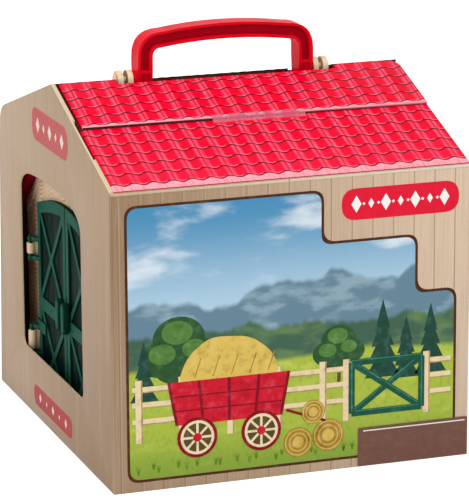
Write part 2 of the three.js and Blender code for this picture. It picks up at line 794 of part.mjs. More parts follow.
// The handle from the side: full depth at the grip, round at the feet
function handleSide() {
  const half = handleDepth / 2;
  const top = handleTop + cutOverrun;
  const outline = new THREE.Shape();
  outline.moveTo(-half, top);
  outline.lineTo(-half, pivotHeight + handleShoulder);
  outline.quadraticCurveTo(-handleFootRound, pivotHeight + handleShoulder / 2, -handleFootRound, pivotHeight);
  outline.absarc(0, pivotHeight, handleFootRound, Math.PI, 2 * Math.PI, false);
  outline.quadraticCurveTo(handleFootRound, pivotHeight + handleShoulder / 2, half, pivotHeight + handleShoulder);
  outline.lineTo(half, top);
  const reach = handleHalf + cutOverrun;
  return extrude(outline, 'x', handleMiddle - reach, handleMiddle + reach);
}

function carryHandle() {
  const half = handleDepth / 2;
  const foot = pivotHeight - handleDepth;
  const bar = extrude(handleOutline(0, foot), 'y', -half, half, handleBevel).intersect(handleSide());
  const front = extrude(handleOutline(webRim, webFoot), 'y', -half - cutOverrun, webRecess - half);
  const back = extrude(handleOutline(webRim, webFoot), 'y', half - webRecess, half + cutOverrun);
  const bores = [-1, 1].map((end) => {
    const outer = handleMiddle + end * (handleHalf + cutOverrun);
    const inner = handleMiddle + end * (handleHalf - pivotDepth - seatGap);
    return extrude(disc(0, pivotHeight, pivotPin + seatGap), 'x', outer, inner);
  });
  return cut(bar, front, back, ...bores);
}

function handlePin(end) {
  const inner = handleMiddle + end * (handleHalf - pivotDepth);
  const face = handleMiddle + end * (earInner + earWidth + seatGap);
  const head = face + end * pivotHeadHeight;
  return join(
    extrude(disc(0, pivotHeight, pivotPin), 'x', inner, head),
    extrude(disc(0, pivotHeight, pivotHead), 'x', face, head));
}

// Door leaf: grooved panel, frame, crossed braces and the loops of its hinges
function doorLeaf(side) {
  const panel = extrude(
    archedSide(side, leafGap, leafEdge, leafBottom, leafCrown, archRadius), 'x', leafFace, leafBack);
  const grooves = [];
  const spacing = (leafEdge - leafGap - 2 * stileWidth) / (leafGrooves + 1);
  for (let index = 1; index <= leafGrooves; index += 1) {
    const y = side * (leafGap + stileWidth + index * spacing);
    grooves.push(block(
      [leafFace - cutOverrun, y - leafGroove / 2, leafBottom + bottomRail],
      [leafFace + leafGrooveDepth, y + leafGroove / 2, leafCrown]));
  }
  const near = leafGap + stileWidth;
  const far = leafEdge - stileWidth;
  const midRailLow = midRailTop - midRail;
  const upper = archedSide(side, near, far, midRailTop, leafCrown - topRail, archRadius - topRail);
  const low = leafBottom + bottomRail;
  const lower = rectangle(Math.min(side * near, side * far), low, Math.max(side * near, side * far), midRailLow);
  const rim = extrude(
    archedSide(side, leafGap, leafEdge, leafBottom, leafCrown, archRadius), 'x', frameFace, leafFace);
  const frame = cut(rim,
    extrude(upper, 'x', frameFace - cutOverrun, leafFace + cutOverrun),
    extrude(lower, 'x', frameFace - cutOverrun, leafFace + cutOverrun));
  const upperHead = (y) => leafCrown - archRadius + Math.sqrt(archRadius ** 2 - y ** 2) - topRail;
  const braces = [
    brace(side, near, midRailTop, far, upperHead(far)), brace(side, far, midRailTop, near, upperHead(near)),
    brace(side, near, low, far, midRailLow), brace(side, far, low, near, midRailLow),
  ];
  const clip = extrude(
    archedSide(side, leafGap, leafEdge, leafBottom, leafCrown, archRadius), 'x', frameFace, leafBack);
  const loops = [
    hingeLoop(side, upperLoopLow, upperLoopHigh),
    hingeLoop(side, lowerLoopLow, lowerLoopHigh),
  ];
  const body = join(cut(panel, ...grooves), frame, ...braces.map((bar) => bar.intersect(clip)));
  const seat = pullSeat(side);
  return join(cut(body, seat), ...loops);
}

function brace(side, fromY, fromZ, toY, toZ) {
  const run = toY - fromY;
  const rise = toZ - fromZ;
  const length = Math.hypot(run, rise);
  const offsetY = -rise / length * braceWidth / 2;
  const offsetZ = run / length * braceWidth / 2;
  return extrude(polygon([
    [side * (fromY + offsetY), fromZ + offsetZ], [side * (fromY - offsetY), fromZ - offsetZ],
    [side * (toY - offsetY), toZ - offsetZ], [side * (toY + offsetY), toZ + offsetZ],
  ]), 'x', leafFace - leafBraceProud, leafFace + leafGrooveDepth);
}

function hingeLoop(side, low, high) {
  const y = side * hingeY;
  const stile = side * (leafEdge - stileWidth);
  const plan = polygon([
    [frameFace, stile], [leafFace, side * leafEdge], [hingeX, y + side * loopEye],
    [hingeX - loopEye, y], [hingeX, y - side * loopEye],
  ]);
  const prongs = [low, high - loopThickness].map((z) => join(
    extrude(plan, 'z', z, z + loopThickness), post(hingeX, y, loopEye, z, z + loopThickness)));
  return join(post(hingeX, y, hingeBar, low, high), ...prongs);
}

// The pull stands on the meeting stile; its stem sits in a seat cut in the leaf
function pullMiddle(side) {
  return side * (pullOffset + pullWidth / 2);
}

function pullSeat(side) {
  const y = pullMiddle(side);
  const middle = (pullLow + pullHigh) / 2;
  const half = pullStem / 2 + seatGap;
  return block(
    [frameFace - cutOverrun, y - half, middle - 2 * half],
    [leafFace, y + half, middle + 2 * half]);
}

function doorPull(side) {
  const y = pullMiddle(side);
  const half = pullWidth / 2;
  const middle = (pullLow + pullHigh) / 2;
  const plan = polygon([
    [y - half, pullLow + half], [y, pullLow], [y + half, pullLow + half],
    [y + half, pullHigh - half], [y, pullHigh], [y - half, pullHigh - half],
  ]);
  const back = frameFace - seatGap;
  const grip = extrude(plan, 'x', frameFace - pullDepth, back, pullBevel);
  const stem = block(
    [back - pullBevel, y - pullStem / 2, middle - pullStem], [leafFace - seatGap, y + pullStem / 2, middle + pullStem]);
  return join(grip, stem);
}

// Assembly
const carton = new THREE.Group();
carton.name = 'carton';
place(carton, 'carton_front_wall', cartonFrontWall(), finishes.board);
place(carton, 'carton_back_wall', cartonBackWall(), finishes.board);
place(carton, 'carton_door_end', cartonDoorEnd(), finishes.board);
place(carton, 'carton_plain_end', cartonPlainEnd(), finishes.board);
place(carton, 'carton_front_slope', cartonFrontSlope(), finishes.redBoard);
place(carton, 'carton_back_slope', cartonBackSlope(), finishes.redBoard);
place(carton, 'ridge_flap', ridgeFlap(), finishes.redBoard);
place(carton, 'seal_label', sealLabel(), finishes.seal);
stable.add(carton);

for (const [name, side] of [['front', -1], ['rear', 1]]) {
  const half = new THREE.Group();
  half.name = `${name}_half`;
  place(half, `${name}_floor`, floorPlate(side), finishes.straw);
  place(half, `${name}_side_wall`, sideWall(side), finishes.cream);
  place(half, `${name}_door_end`, doorEnd(side), finishes.cream);
  place(half, `${name}_window_end`, windowEnd(side), finishes.cream);
  place(half, `${name}_roof`, roofSlope(side), finishes.redPlastic);
  place(half, `${name}_skylight`, skylight(side), finishes.redPlastic);
  place(half, `${name}_ridge_beam`, ridgeBeam(side), finishes.cream);
  place(half, `${name}_door_leaf`, doorLeaf(side), finishes.green);
  place(half, `${name}_door_pull`, doorPull(side), finishes.green);
  stable.add(half);
}
place(stable, 'hinge_pin', hingePin(), finishes.cream);

const handle = new THREE.Group();
handle.name = 'handle';
place(handle, 'carry_handle', carryHandle(), finishes.handleRed);
place(handle, 'handle_pin_left', handlePin(-1), finishes.cream);
place(handle, 'handle_pin_right', handlePin(1), finishes.cream);
stable.add(handle);

export default stable;
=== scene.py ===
"""A toy stable in its printed carton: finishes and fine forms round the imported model.

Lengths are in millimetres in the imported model's frame, unless a docstring says metres.
"""

import json
import logging
import math
from dataclasses import dataclass, field
from enum import Enum
from functools import cache

import bmesh
import bpy
from mathutils import Matrix, Vector


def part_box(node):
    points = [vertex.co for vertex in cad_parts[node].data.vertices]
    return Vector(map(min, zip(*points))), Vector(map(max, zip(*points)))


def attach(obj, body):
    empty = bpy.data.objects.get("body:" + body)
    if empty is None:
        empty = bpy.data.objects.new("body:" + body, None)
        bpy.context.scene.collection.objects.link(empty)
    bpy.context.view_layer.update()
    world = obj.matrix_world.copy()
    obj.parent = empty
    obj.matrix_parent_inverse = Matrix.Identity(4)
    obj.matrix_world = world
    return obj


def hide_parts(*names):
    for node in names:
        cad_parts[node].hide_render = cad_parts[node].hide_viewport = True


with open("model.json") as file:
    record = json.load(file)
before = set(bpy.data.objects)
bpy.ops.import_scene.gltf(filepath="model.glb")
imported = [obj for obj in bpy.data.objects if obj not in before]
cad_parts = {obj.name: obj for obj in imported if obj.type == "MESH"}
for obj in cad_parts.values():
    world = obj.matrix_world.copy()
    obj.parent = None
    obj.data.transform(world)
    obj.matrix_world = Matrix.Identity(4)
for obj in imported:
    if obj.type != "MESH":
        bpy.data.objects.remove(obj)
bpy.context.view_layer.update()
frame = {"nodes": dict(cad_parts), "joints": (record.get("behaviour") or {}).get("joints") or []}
LOG = logging.getLogger("toy_stable")
MM = 0.001
Colour = tuple[float, float, float]
Triple = tuple[float, float, float]
Point = tuple[float, float]

# Points nearer than this are welded before edges are rounded
WELD_REACH = 0.002
# Points of an outline nearer than this are one
SAME_PLACE = 0.01

# Spans of noise, which lies about 0.5, over which one colour covers another
FULL_COVER = (0.45, 0.7)
HALF_COVER = (0.45, 0.75)
THIN_COVER = (0.5, 0.8)


def linear(colour: Colour) -> tuple[float, float, float, float]:
    """Turns a colour as seen on a screen into the linear colour that a shader takes.

    Args:
        colour: red, green and blue, each from 0 to 255.

    Returns:
        Linear red, green and blue from 0 to 1, and an alpha of 1.
    """
    toe, toe_slope, offset, power = 0.04045, 12.92, 0.055, 2.4
    shares = [channel / 255 for channel in colour]
    return (*(s / toe_slope if s <= toe else ((s + offset) / (1 + offset)) ** power for s in shares), 1.0)


class Signal:
    """A number that varies over a surface, carried by the output of a shader node."""

    def __init__(self, paint: "Paint", socket: bpy.types.NodeSocket) -> None:
        """Holds a node's output.

        Args:
            paint: the material that the node is in.
            socket: the node's output.
        """
        self.paint = paint
        self.socket = socket

    def math(self, operation: str, *others: "Signal | float") -> "Signal":
        """Feeds this signal, and others after it, to a math node.

        Args:
            operation: the math node's operation.
            others: signals or plain numbers for its further inputs.

        Returns:
            The node's result.
        """
        node = self.paint.node("ShaderNodeMath", operation=operation)
        for slot, value in zip(node.inputs, (self, *others)):
            self.paint.feed(slot, value)
        return Signal(self.paint, node.outputs[0])

    def __add__(self, other: "Signal | float") -> "Signal":
        """The sum."""
        return self.math("ADD", other)

    def __sub__(self, other: "Signal | float") -> "Signal":
        """The difference."""
        return self.math("SUBTRACT", other)

    def __mul__(self, other: "Signal | float") -> "Signal":
        """The product."""
        return self.math("MULTIPLY", other)

    def __truediv__(self, other: "Signal | float") -> "Signal":
        """The quotient."""
        return self.math("DIVIDE", other)

    def sine(self) -> "Signal":
        """The sine of a full turn for each unit."""
        return (self * math.tau).math("SINE")

    def size(self) -> "Signal":
        """The value without its sign."""
        return self.math("ABSOLUTE")

    def centred(self) -> "Signal":
        """How far past the nearest whole number, from -0.5 to 0.5."""
        return (self + 0.5).math("FRACT") - 0.5

    def most(self, other: "Signal | float") -> "Signal":
        """The larger of two values."""
        return self.math("MAXIMUM", other)

    def rise(self, low: float, high: float) -> "Signal":
        """Rises smoothly from 0 to 1.

        Args:
            low: the value at which the result is 0.
            high: the value at which it is 1, which may be the smaller one.

        Returns:
            The smooth step.
        """
        node = self.paint.node("ShaderNodeMapRange", interpolation_type="SMOOTHSTEP")
        self.paint.feed(node.inputs["Value"], self)
        node.inputs["From Min"].default_value = low
        node.inputs["From Max"].default_value = high
        return Signal(self.paint, node.outputs["Result"])

    def band(self, middle: float, half: float, soft: float) -> "Signal":
        """A band of ones with soft edges.

        Args:
            middle: the value in the middle of the band.
            half: half the band's width.
            soft: how far its edge fades.

        Returns:
            1 inside the band and 0 outside.
        """
        return (self - middle).size().rise(half + soft, half)


class Paint:
    """One material's node tree: places in millimetres, patterns and the shader."""

    def __init__(self, name: str) -> None:
        """Starts a material.

        Args:
            name: the material's name.
        """
        self.material = bpy.data.materials.new(name)
        self.material.use_nodes = True
        self.tree = self.material.node_tree
        self.shader = self.tree.nodes["Principled BSDF"]
        coordinates = self.node("ShaderNodeTexCoord")
        scale = self.node("ShaderNodeVectorMath", operation="SCALE")
        self.tree.links.new(coordinates.outputs["Object"], scale.inputs[0])
        scale.inputs["Scale"].default_value = 1 / MM
        self.place = scale.outputs["Vector"]
        self.x, self.y, self.z = self.split(self.place)
        self.normal_x, self.normal_y, self.normal_z = self.split(coordinates.outputs["Normal"])

    def node(self, kind: str, **settings: object) -> bpy.types.Node:
        """Adds a node.

        Args:
            kind: the node's type.
            settings: its properties.

        Returns:
            The node.
        """
        made = self.tree.nodes.new(kind)
        for key, value in settings.items():
            setattr(made, key, value)
        return made

    def feed(self, slot: bpy.types.NodeSocket, value: object) -> None:
        """Gives an input a signal, an output or a plain value.

        Args:
            slot: the input.
            value: a Signal, a node's output, a number or a colour of 0 to 255.
        """
        if isinstance(value, Signal):
            self.tree.links.new(value.socket, slot)
        elif isinstance(value, bpy.types.NodeSocket):
            self.tree.links.new(value, slot)
        elif isinstance(value, tuple):
            slot.default_value = linear(value)
        else:
            slot.default_value = value

    def split(self, vector: bpy.types.NodeSocket) -> tuple[Signal, Signal, Signal]:
        """Takes a vector apart.

        Args:
            vector: the output that carries it.

        Returns:
            Its three parts.
        """
        node = self.node("ShaderNodeSeparateXYZ")
        self.tree.links.new(vector, node.inputs[0])
        return tuple(Signal(self, output) for output in node.outputs)

    def noise(self, grain: float, detail: float = 2.0, stretch: Triple = (1, 1, 1),
              shift: float = 0.0) -> Signal:
        """Cloudy noise.

        Args:
            grain: the size of its lumps in millimetres.
            detail: how many finer layers it has.
            stretch: how much longer the lumps are along each axis.
            shift: moves the pattern, so that two of them differ.

        Returns:
            The noise, about 0.5 in the mean.
        """
        mapping = self.node("ShaderNodeMapping")
        self.tree.links.new(self.place, mapping.inputs["Vector"])
        mapping.inputs["Scale"].default_value = [1 / (grain * part) for part in stretch]
        mapping.inputs["Location"].default_value = (shift, shift, shift)
        node = self.node("ShaderNodeTexNoise")
        self.tree.links.new(mapping.outputs["Vector"], node.inputs["Vector"])
        node.inputs["Scale"].default_value = 1.0
        node.inputs["Detail"].default_value = detail
        return Signal(self, node.outputs["Fac"])

    def mix(self, base: object, over: object, share: "Signal | float") -> bpy.types.NodeSocket:
        """Lays one colour over another.

        Args:
            base: the colour below, as 0 to 255 or a node's output.
            over: the colour above.
            share: how much of the upper one shows.

        Returns:
            The mixed colour.
        """
        node = self.node("ShaderNodeMix", data_type="RGBA", clamp_factor=True)
        self.feed(node.inputs["Factor"], share)
        self.feed(node.inputs["A"], base)
        self.feed(node.inputs["B"], over)
        return node.outputs["Result"]

    def finish(self, colour: object, roughness: object, height: Signal | None = None,
               depth: float = 0.1, **sockets: float) -> bpy.types.Material:
        """Connects the shader.

        Args:
            colour: the surface's colour.
            roughness: a number or a signal.
            height: the bump, if there is one.
            depth: the bump's depth in millimetres.
            sockets: values set on the shader's own sockets, spaces written as underscores.

        Returns:
            The material.
        """
        self.feed(self.shader.inputs["Base Color"], colour)
        self.feed(self.shader.inputs["Roughness"], roughness)
        for key, value in sockets.items():
            self.shader.inputs[key.replace("_", " ")].default_value = value
        if height is not None:
            bump = self.node("ShaderNodeBump")
            bump.inputs["Distance"].default_value = depth * MM
            self.feed(bump.inputs["Height"], height)
            self.tree.links.new(bump.outputs["Normal"], self.shader.inputs["Normal"])
        return self.material


class Side(Enum):
    """The carton's walls: each one's node, and the axis and sign of its outward normal."""

    FRONT = ("carton_front_wall", "y", -1.0)
    BACK = ("carton_back_wall", "y", 1.0)
    DOOR_END = ("carton_door_end", "x", -1.0)
    PLAIN_END = ("carton_plain_end", "x", 1.0)

    @property
    def node(self) -> str:
        """The wall's node."""
        return self.value[0]

    @property
    def long(self) -> bool:
        """Whether it is one of the two long walls, which run along X."""
        return self.value[1] == "y"

    @property
    def sign(self) -> float:
        """The sign of its outward normal."""
        return self.value[2]


@dataclass(frozen=True)
class WallPaintedLight:
    """How a wall's print takes painted shade towards one corner and painted light towards the other.

    A span is where the change starts and where it is complete, along the wall or up it. Its
    share is how strong it is there, and how strong it is before.
    """

    painted_shade_along: Point
    painted_shade_along_share: Point
    painted_shade_up: Point
    painted_shade_up_share: Point
    painted_light_along: Point
    painted_light_share: float


# Painted shade and painted light on the walls' print: darker towards one corner and along the height,
# lighter towards the other corner
LONG_WALL_PAINTED_LIGHT = WallPaintedLight((20, -140), (1.0, 0.0), (-40, 200), (0.6, 0.4), (-30, 140), 0.85)
GABLE_PAINTED_LIGHT = WallPaintedLight((80, -150), (0.6, 0.35), (230, -20), (0.85, 0.15), (-60, 150), 0.35)


@dataclass(frozen=True)
class PlankBoard:
    """Board printed outside with pale planks, plain inside, with a fibrous cut edge.

    Where all_round is set, the planks are printed on every face, as on a crease.
    """
    name: str
    side: Side
    base: Colour = (188, 161, 134)
    # shade and light serve both the print's grain and the painted shade and painted light laid on by tone
    shade: Colour = (152, 122, 94)
    light: Colour = (222, 198, 172)
    seam: Colour = (140, 112, 82)
    inside: Colour = (158, 142, 122)
    edge: Colour = (228, 208, 172)
    seam_pitch: float = 15.8
    seam_offset: float = 3.3
    seam_half: float = 0.3
    grain: float = 0.75
    streak: float = 0.22
    cloud: float = 0.14
    all_round: bool = False

    def tone(self, paint: Paint, along: Signal) -> object:
        """The wall's ground colour, with painted shade towards one corner and painted light towards the
        other.

        Args:
            paint: the material.
            along: how far along the wall each point is.

        Returns:
            The colour before the grain.
        """
        # Painted shade and painted light laid over the print's ground colour
        painted_shading = LONG_WALL_PAINTED_LIGHT if self.side.long else GABLE_PAINTED_LIGHT
        strength, least = painted_shading.painted_shade_along_share
        brown = along.rise(*painted_shading.painted_shade_along) * strength + least
        strength, least = painted_shading.painted_shade_up_share
        brown = brown * (paint.z.rise(*painted_shading.painted_shade_up) * strength + least)
        pale = along.rise(*painted_shading.painted_light_along) * painted_shading.painted_light_share
        return paint.mix(paint.mix(self.base, self.light, pale), self.shade, brown)

    def build(self) -> bpy.types.Material:
        """Makes the material.

        Returns:
            The material.
        """
        paint = Paint(self.name)
        along = paint.x if self.side.long else paint.y
        outward = (paint.normal_y if self.side.long else paint.normal_x) * self.side.sign
        fine = paint.noise(self.grain, 3, (1, 1, 60))
        broad = paint.noise(9, 2, (1, 1, 12), 3.1)
        wood = self.tone(paint, along)
        wood = paint.mix(wood, self.shade, fine.rise(*HALF_COVER) * self.streak)
        wood = paint.mix(wood, self.light, fine.rise(0.5, 0.25) * self.streak)
        wood = paint.mix(wood, self.shade, broad.rise(0.5, 0.78) * self.cloud)
        wood = paint.mix(wood, self.light, broad.rise(0.48, 0.22) * self.cloud)
        if self.side.long:
            plank = (along + self.seam_offset) / self.seam_pitch
            from_seam = plank.centred() * self.seam_pitch
            wood = paint.mix(wood, self.light, from_seam.band(0.9, 0.35, 0.5) * 0.2)
            wood = paint.mix(wood, self.seam, from_seam.band(0, self.seam_half, 0.35) * 0.6)
        fibre = paint.noise(0.5, 2, (1, 1, 1), 7.7)
        cut = paint.mix(self.edge, self.light, fibre.rise(*FULL_COVER) * 0.5)
        plain = paint.mix(self.inside, self.shade, fibre.rise(*THIN_COVER) * 0.25)
        surface = paint.mix(cut, plain, outward.rise(-0.5, -0.7))
        surface = paint.mix(surface, wood, 1.0 if self.all_round else outward.rise(0.25, 0.45))
        return paint.finish(surface, fibre * 0.1 + 0.5, fine, 0.02, Specular_IOR_Level=0.15)


@dataclass(frozen=True)
class TilePrint:
    """Board printed with roof tiles: red and pink bands down the slope, rows ended by a wavy line.

    The slope runs from foot to head, each its Y and Z. A column of tiles runs from 0 to 1
    across: its red part ends at red_end, and a thin line at split parts the pale part beside
    it. The slit is the X and Y of the flap's corner, past which a painted shadow of the raised flap lies on
    the slope.
    """

    name: str
    foot: Point
    head: Point
    first_row: float
    start: float
    crest: float
    red_end: float = 0.46
    split: float = 0.68
    swing: float = 1.5
    row: float = 13.6
    column: float = 14.15
    rim_width: float = 0.0
    pale_foot: bool = False
    deep: Colour = (255, 0, 50)
    dusk: Colour = (224, 0, 40)
    pink: Colour = (255, 52, 88)
    streak: Colour = (255, 112, 138)
    lip: Colour = (255, 150, 168)
    line: Colour = (92, 0, 18)
    soft_line: Colour = (150, 0, 28)
    foot_band: Colour = (255, 178, 188)
    rim: Colour = (168, 8, 44)
    flap_shadow_corner: Point | None = None
    flange: Point = (-128.0, -130.0)
    edge: Colour = (52, 24, 18)
    kraft: Colour = (126, 96, 72)

    def tiles(self, paint: Paint, up: Signal) -> tuple[object, Signal]:
        """Draws the tiles.

        Args:
            paint: the material.
            up: millimetres up the slope from its lower edge.

        Returns:
            Their colour, and how far each point is from the nearest wavy line.
        """
        turn = (paint.x - self.start) / self.column
        across = turn.math("FRACT")
        wave = (turn - (self.crest - 0.25)).sine()
        rows = (up - wave * self.swing - self.first_row) / self.row
        tile = rows.math("FRACT")
        fine = paint.noise(1.0, 2, (1, 12, 12), 5.0)
        patch = paint.noise(self.column, 1, (1, 1, 1), 2.2)

        pale = across.rise(self.red_end - 0.06, self.red_end + 0.05) * across.rise(1.0, 0.88)
        before_split = across.band((self.red_end + self.split) / 2, 0.03, 0.08)
        behind_split = across.band((self.split + 1) / 2 - 0.03, 0.03, 0.09)
        streaks = (before_split + behind_split) * fine.rise(0.3, 0.65) * (patch * 0.8 + 0.3)
        colour = paint.mix(self.deep, self.dusk, patch.rise(0.45, 0.65) * 0.35)
        colour = paint.mix(colour, self.pink, pale * (fine * 0.5 + 0.5))
        colour = paint.mix(colour, self.streak, streaks)
        colour = paint.mix(colour, self.dusk, across.band(self.split, 0.02, 0.04) * 0.7)
        if self.pale_foot:
            colour = paint.mix(colour, self.pink, up.rise(60, 4) * 0.3)
        trough = wave.rise(0.4, -0.7)
        colour = paint.mix(colour, self.lip, tile.rise(0.17, 0.1) * (trough * 0.5 + pale * 0.3))
        colour = paint.mix(colour, self.dusk, tile.rise(0.8, 0.97) * 0.4)

        distance = rows.centred().size() * self.row
        tone = paint.mix(self.line, self.soft_line, wave.size().rise(0.75, 0.2))
        colour = paint.mix(colour, tone, distance.rise(0.95, 0.5))
        band = paint.mix(self.foot_band, self.pink, fine.rise(0.4, 0.75) * 0.5)
        colour = paint.mix(colour, band, rows.rise(-0.04, -0.07))
        return paint.mix(colour, self.rim, up.rise(self.rim_width, self.rim_width - 0.6)), distance

    def build(self) -> bpy.types.Material:
        """Makes the material.

        Returns:
            The material.
        """
        paint = Paint(self.name)
        run = self.head[0] - self.foot[0]
        climb = self.head[1] - self.foot[1]
        length = math.hypot(run, climb)
        up = (paint.y - self.foot[0]) * (run / length) + (paint.z - self.foot[1]) * (climb / length)
        colour, distance = self.tiles(paint, up)
        facing = paint.normal_y * (-climb / length) + paint.normal_z * (run / length)
        facing = facing * math.copysign(1, run)
        flange = paint.normal_x.rise(-0.5, -0.8) * paint.x.rise(*self.flange)
        fibre = paint.noise(0.9, 3, (1, 1, 1), 1.4)
        cut = paint.mix(self.edge, self.kraft, fibre.rise(*FULL_COVER) * 0.6)
        under = paint.mix(self.kraft, self.edge, fibre.rise(*THIN_COVER) * 0.3)
        surface = paint.mix(cut, under, facing.rise(-0.5, -0.7))
        surface = paint.mix(surface, colour, facing.rise(0.3, 0.5).most(flange))
        # Painted shadow of the raised flap, dark on the slope past the flap's corner
        if self.flap_shadow_corner:
            x, y = self.flap_shadow_corner
            beside = paint.x.rise(x + 0.6, x) * paint.y.rise(y - 2, y)
            surface = paint.mix(surface, self.edge, beside * 0.9)
        gloss = paint.noise(6, 2, (1, 1, 1), 9.0) * 0.12 + 0.4
        return paint.finish(surface, gloss, distance.rise(0.2, 1.1), 0.02, Specular_IOR_Level=0.04)


@dataclass(frozen=True)
class SlotShadeBoard:
    """The fibrous edge of cut board, dark with painted shade of the handle's slot."""

    name: str
    colour: Colour = (46, 20, 16)
    fibre: Colour = (96, 62, 46)

    def build(self) -> bpy.types.Material:
        """Makes the material.

        Returns:
            The material.
        """
        paint = Paint(self.name)
        fibre = paint.noise(0.8, 3)
        colour = paint.mix(self.colour, self.fibre, fibre.rise(*HALF_COVER) * 0.6)
        return paint.finish(colour, fibre * 0.1 + 0.8, fibre, 0.2, Specular_IOR_Level=0.1)


@dataclass(frozen=True)
class Ink:
    """A flat printed colour on board, with the paper's faint mottle."""

    name: str
    colour: Colour
    mottle: float = 0.12
    gloss: float = 0.45

    def build(self) -> bpy.types.Material:
        """Makes the material.

        Returns:
            The material.
        """
        paint = Paint(self.name)
        dark = tuple(channel * (1 - self.mottle) for channel in self.colour)
        bright = tuple(channel + (255 - channel) * self.mottle for channel in self.colour)
        cloud = paint.noise(5, 4)
        colour = paint.mix(self.colour, dark, cloud.rise(0.5, 0.75))
        colour = paint.mix(colour, bright, cloud.rise(0.5, 0.25))
        return paint.finish(colour, cloud * 0.1 + self.gloss, cloud, 0.02, Specular_IOR_Level=0.12)


@dataclass(frozen=True)
class Skyline:
    """The wavy upper edge of one layer of the landscape: shares are of the picture's height."""

    grain: float
    detail: float
    shift: float
    swing: float
    level: float
    stretch: float = 1000.0
    soft: float = 0.012

    def under(self, paint: Paint, level: Signal) -> Signal:
        """Where the picture lies under the edge.

        Args:
            paint: the material.
            level: how far up the picture each point is.

        Returns:
            1 under the edge and 0 over it.
        """
        wave = paint.noise(self.grain, self.detail, (1, 1, self.stretch), self.shift)
        return (level - (wave * self.swing + self.level)).rise(self.soft, -self.soft)


@dataclass(frozen=True)
class Landscape:
    """The printed country picture: sky with cloud, mountains, wooded hills and a meadow."""

    name: str
    low: float
    high: float
    mountains: Skyline = Skyline(52, 3, 0.4, 0.3, 0.5)
    forest: Skyline = Skyline(30, 5, 5.3, 0.17, 0.43)
    pasture: Skyline = Skyline(90, 1, 8.8, 0.08, 0.36)
    sky_top: Colour = (58, 136, 180)
    sky_low: Colour = (176, 208, 228)
    cloud: Colour = (236, 242, 246)
    far: Colour = (92, 128, 146)
    far_snow: Colour = (150, 176, 190)
    wood: Colour = (44, 84, 62)
    wood_light: Colour = (96, 128, 74)
    meadow: Colour = (166, 184, 52)
    meadow_dark: Colour = (104, 140, 34)
    meadow_light: Colour = (206, 214, 96)

    def build(self) -> bpy.types.Material:
        """Makes the material.

        Returns:
            The material.
        """
        paint = Paint(self.name)
        level = (paint.z - self.low) / (self.high - self.low)
        puffs = paint.noise(30, 4, (2.2, 1, 0.8), 1.7)
        patches = paint.noise(16, 4, (1.6, 1, 0.7), 4.1)
        grass = paint.noise(2.2, 3, (1.5, 1, 2.5), 6.1)

        sky = paint.mix(self.sky_low, self.sky_top, level.rise(0.55, 1.0))
        sky = paint.mix(sky, self.cloud, puffs.rise(0.52, 0.72) * 0.75)
        slope = paint.mix(self.far, self.far_snow, patches.rise(0.5, 0.68) * 0.7)
        trees = paint.mix(self.wood, self.wood_light, patches.rise(*FULL_COVER) * 0.8)
        near = paint.mix(self.meadow, self.meadow_dark, level.rise(0.2, 0.0) * 0.7)
        near = paint.mix(near, self.meadow_light, patches.rise(0.55, 0.8) * 0.6)
        near = paint.mix(near, self.meadow_dark, grass.rise(0.5, 0.75) * 0.45)

        colour = paint.mix(sky, slope, self.mountains.under(paint, level))
        colour = paint.mix(colour, trees, self.forest.under(paint, level))
        colour = paint.mix(colour, near, self.pasture.under(paint, level))
        return paint.finish(colour, grass * 0.08 + 0.42, grass, 0.01, Specular_IOR_Level=0.4)


@dataclass(frozen=True)
class Moulding:
    """Moulded toy plastic of one colour, with soft mottle and a fine moulded texture."""

    name: str
    colour: Colour
    shade: Colour
    gloss: float
    texture: float = 0.02
    shine: float = 0.35

    def build(self) -> bpy.types.Material:
        """Makes the material.

        Returns:
            The material.
        """
        paint = Paint(self.name)
        cloud = paint.noise(14, 3)
        pores = paint.noise(0.6, 2, (1, 1, 1), 2.0)
        colour = paint.mix(self.colour, self.shade, cloud.rise(*HALF_COVER) * 0.5)
        rough = cloud * 0.08 + pores * 0.06 + (self.gloss - 0.07)
        return paint.finish(colour, rough, pores, self.texture, Specular_IOR_Level=self.shine)


@dataclass(frozen=True)
class GripMoulding:
    """Glossy red plastic, with painted shade on its front and back faces and deeper in the web of the I
    section, and painted highlights along its rounded rims.
    """

    name: str
    web_level: float
    rim_level: float
    colour: Colour = (246, 16, 40)
    shade: Colour = (206, 0, 26)
    # web is the colour of the painted shade in the web, glint that of the painted highlights on the rims
    web: Colour = (164, 0, 26)
    glint: Colour = (255, 96, 104)

    def build(self) -> bpy.types.Material:
        """Makes the material.

        Returns:
            The material.
        """
        paint = Paint(self.name)
        cloud = paint.noise(14, 3)
        pores = paint.noise(0.6, 2, (1, 1, 1), 2.0)
        facing = paint.normal_y.size()
        level = paint.y.size()
        colour = paint.mix(self.colour, self.shade, cloud.rise(*HALF_COVER) * 0.5)
        # Painted shade on the faces turned to the front and back
        colour = paint.mix(colour, self.shade, facing.rise(0.5, 0.9) * 0.6)
        # Painted shade in the web and painted highlights along the rims
        web_painted_shade = level.rise(self.web_level + 0.8, self.web_level + 0.2) * facing.rise(0.5, 0.8)
        colour = paint.mix(colour, self.web, web_painted_shade)
        rim_painted_highlight = level.rise(self.rim_level - 1.2, self.rim_level - 0.6) * facing.band(0.55, 0.25, 0.2)
        colour = paint.mix(colour, self.glint, rim_painted_highlight * (cloud * 0.4 + 0.25))
        rough = cloud * 0.08 + pores * 0.04 + 0.26
        return paint.finish(colour, rough, pores, 0.004, Specular_IOR_Level=0.025)


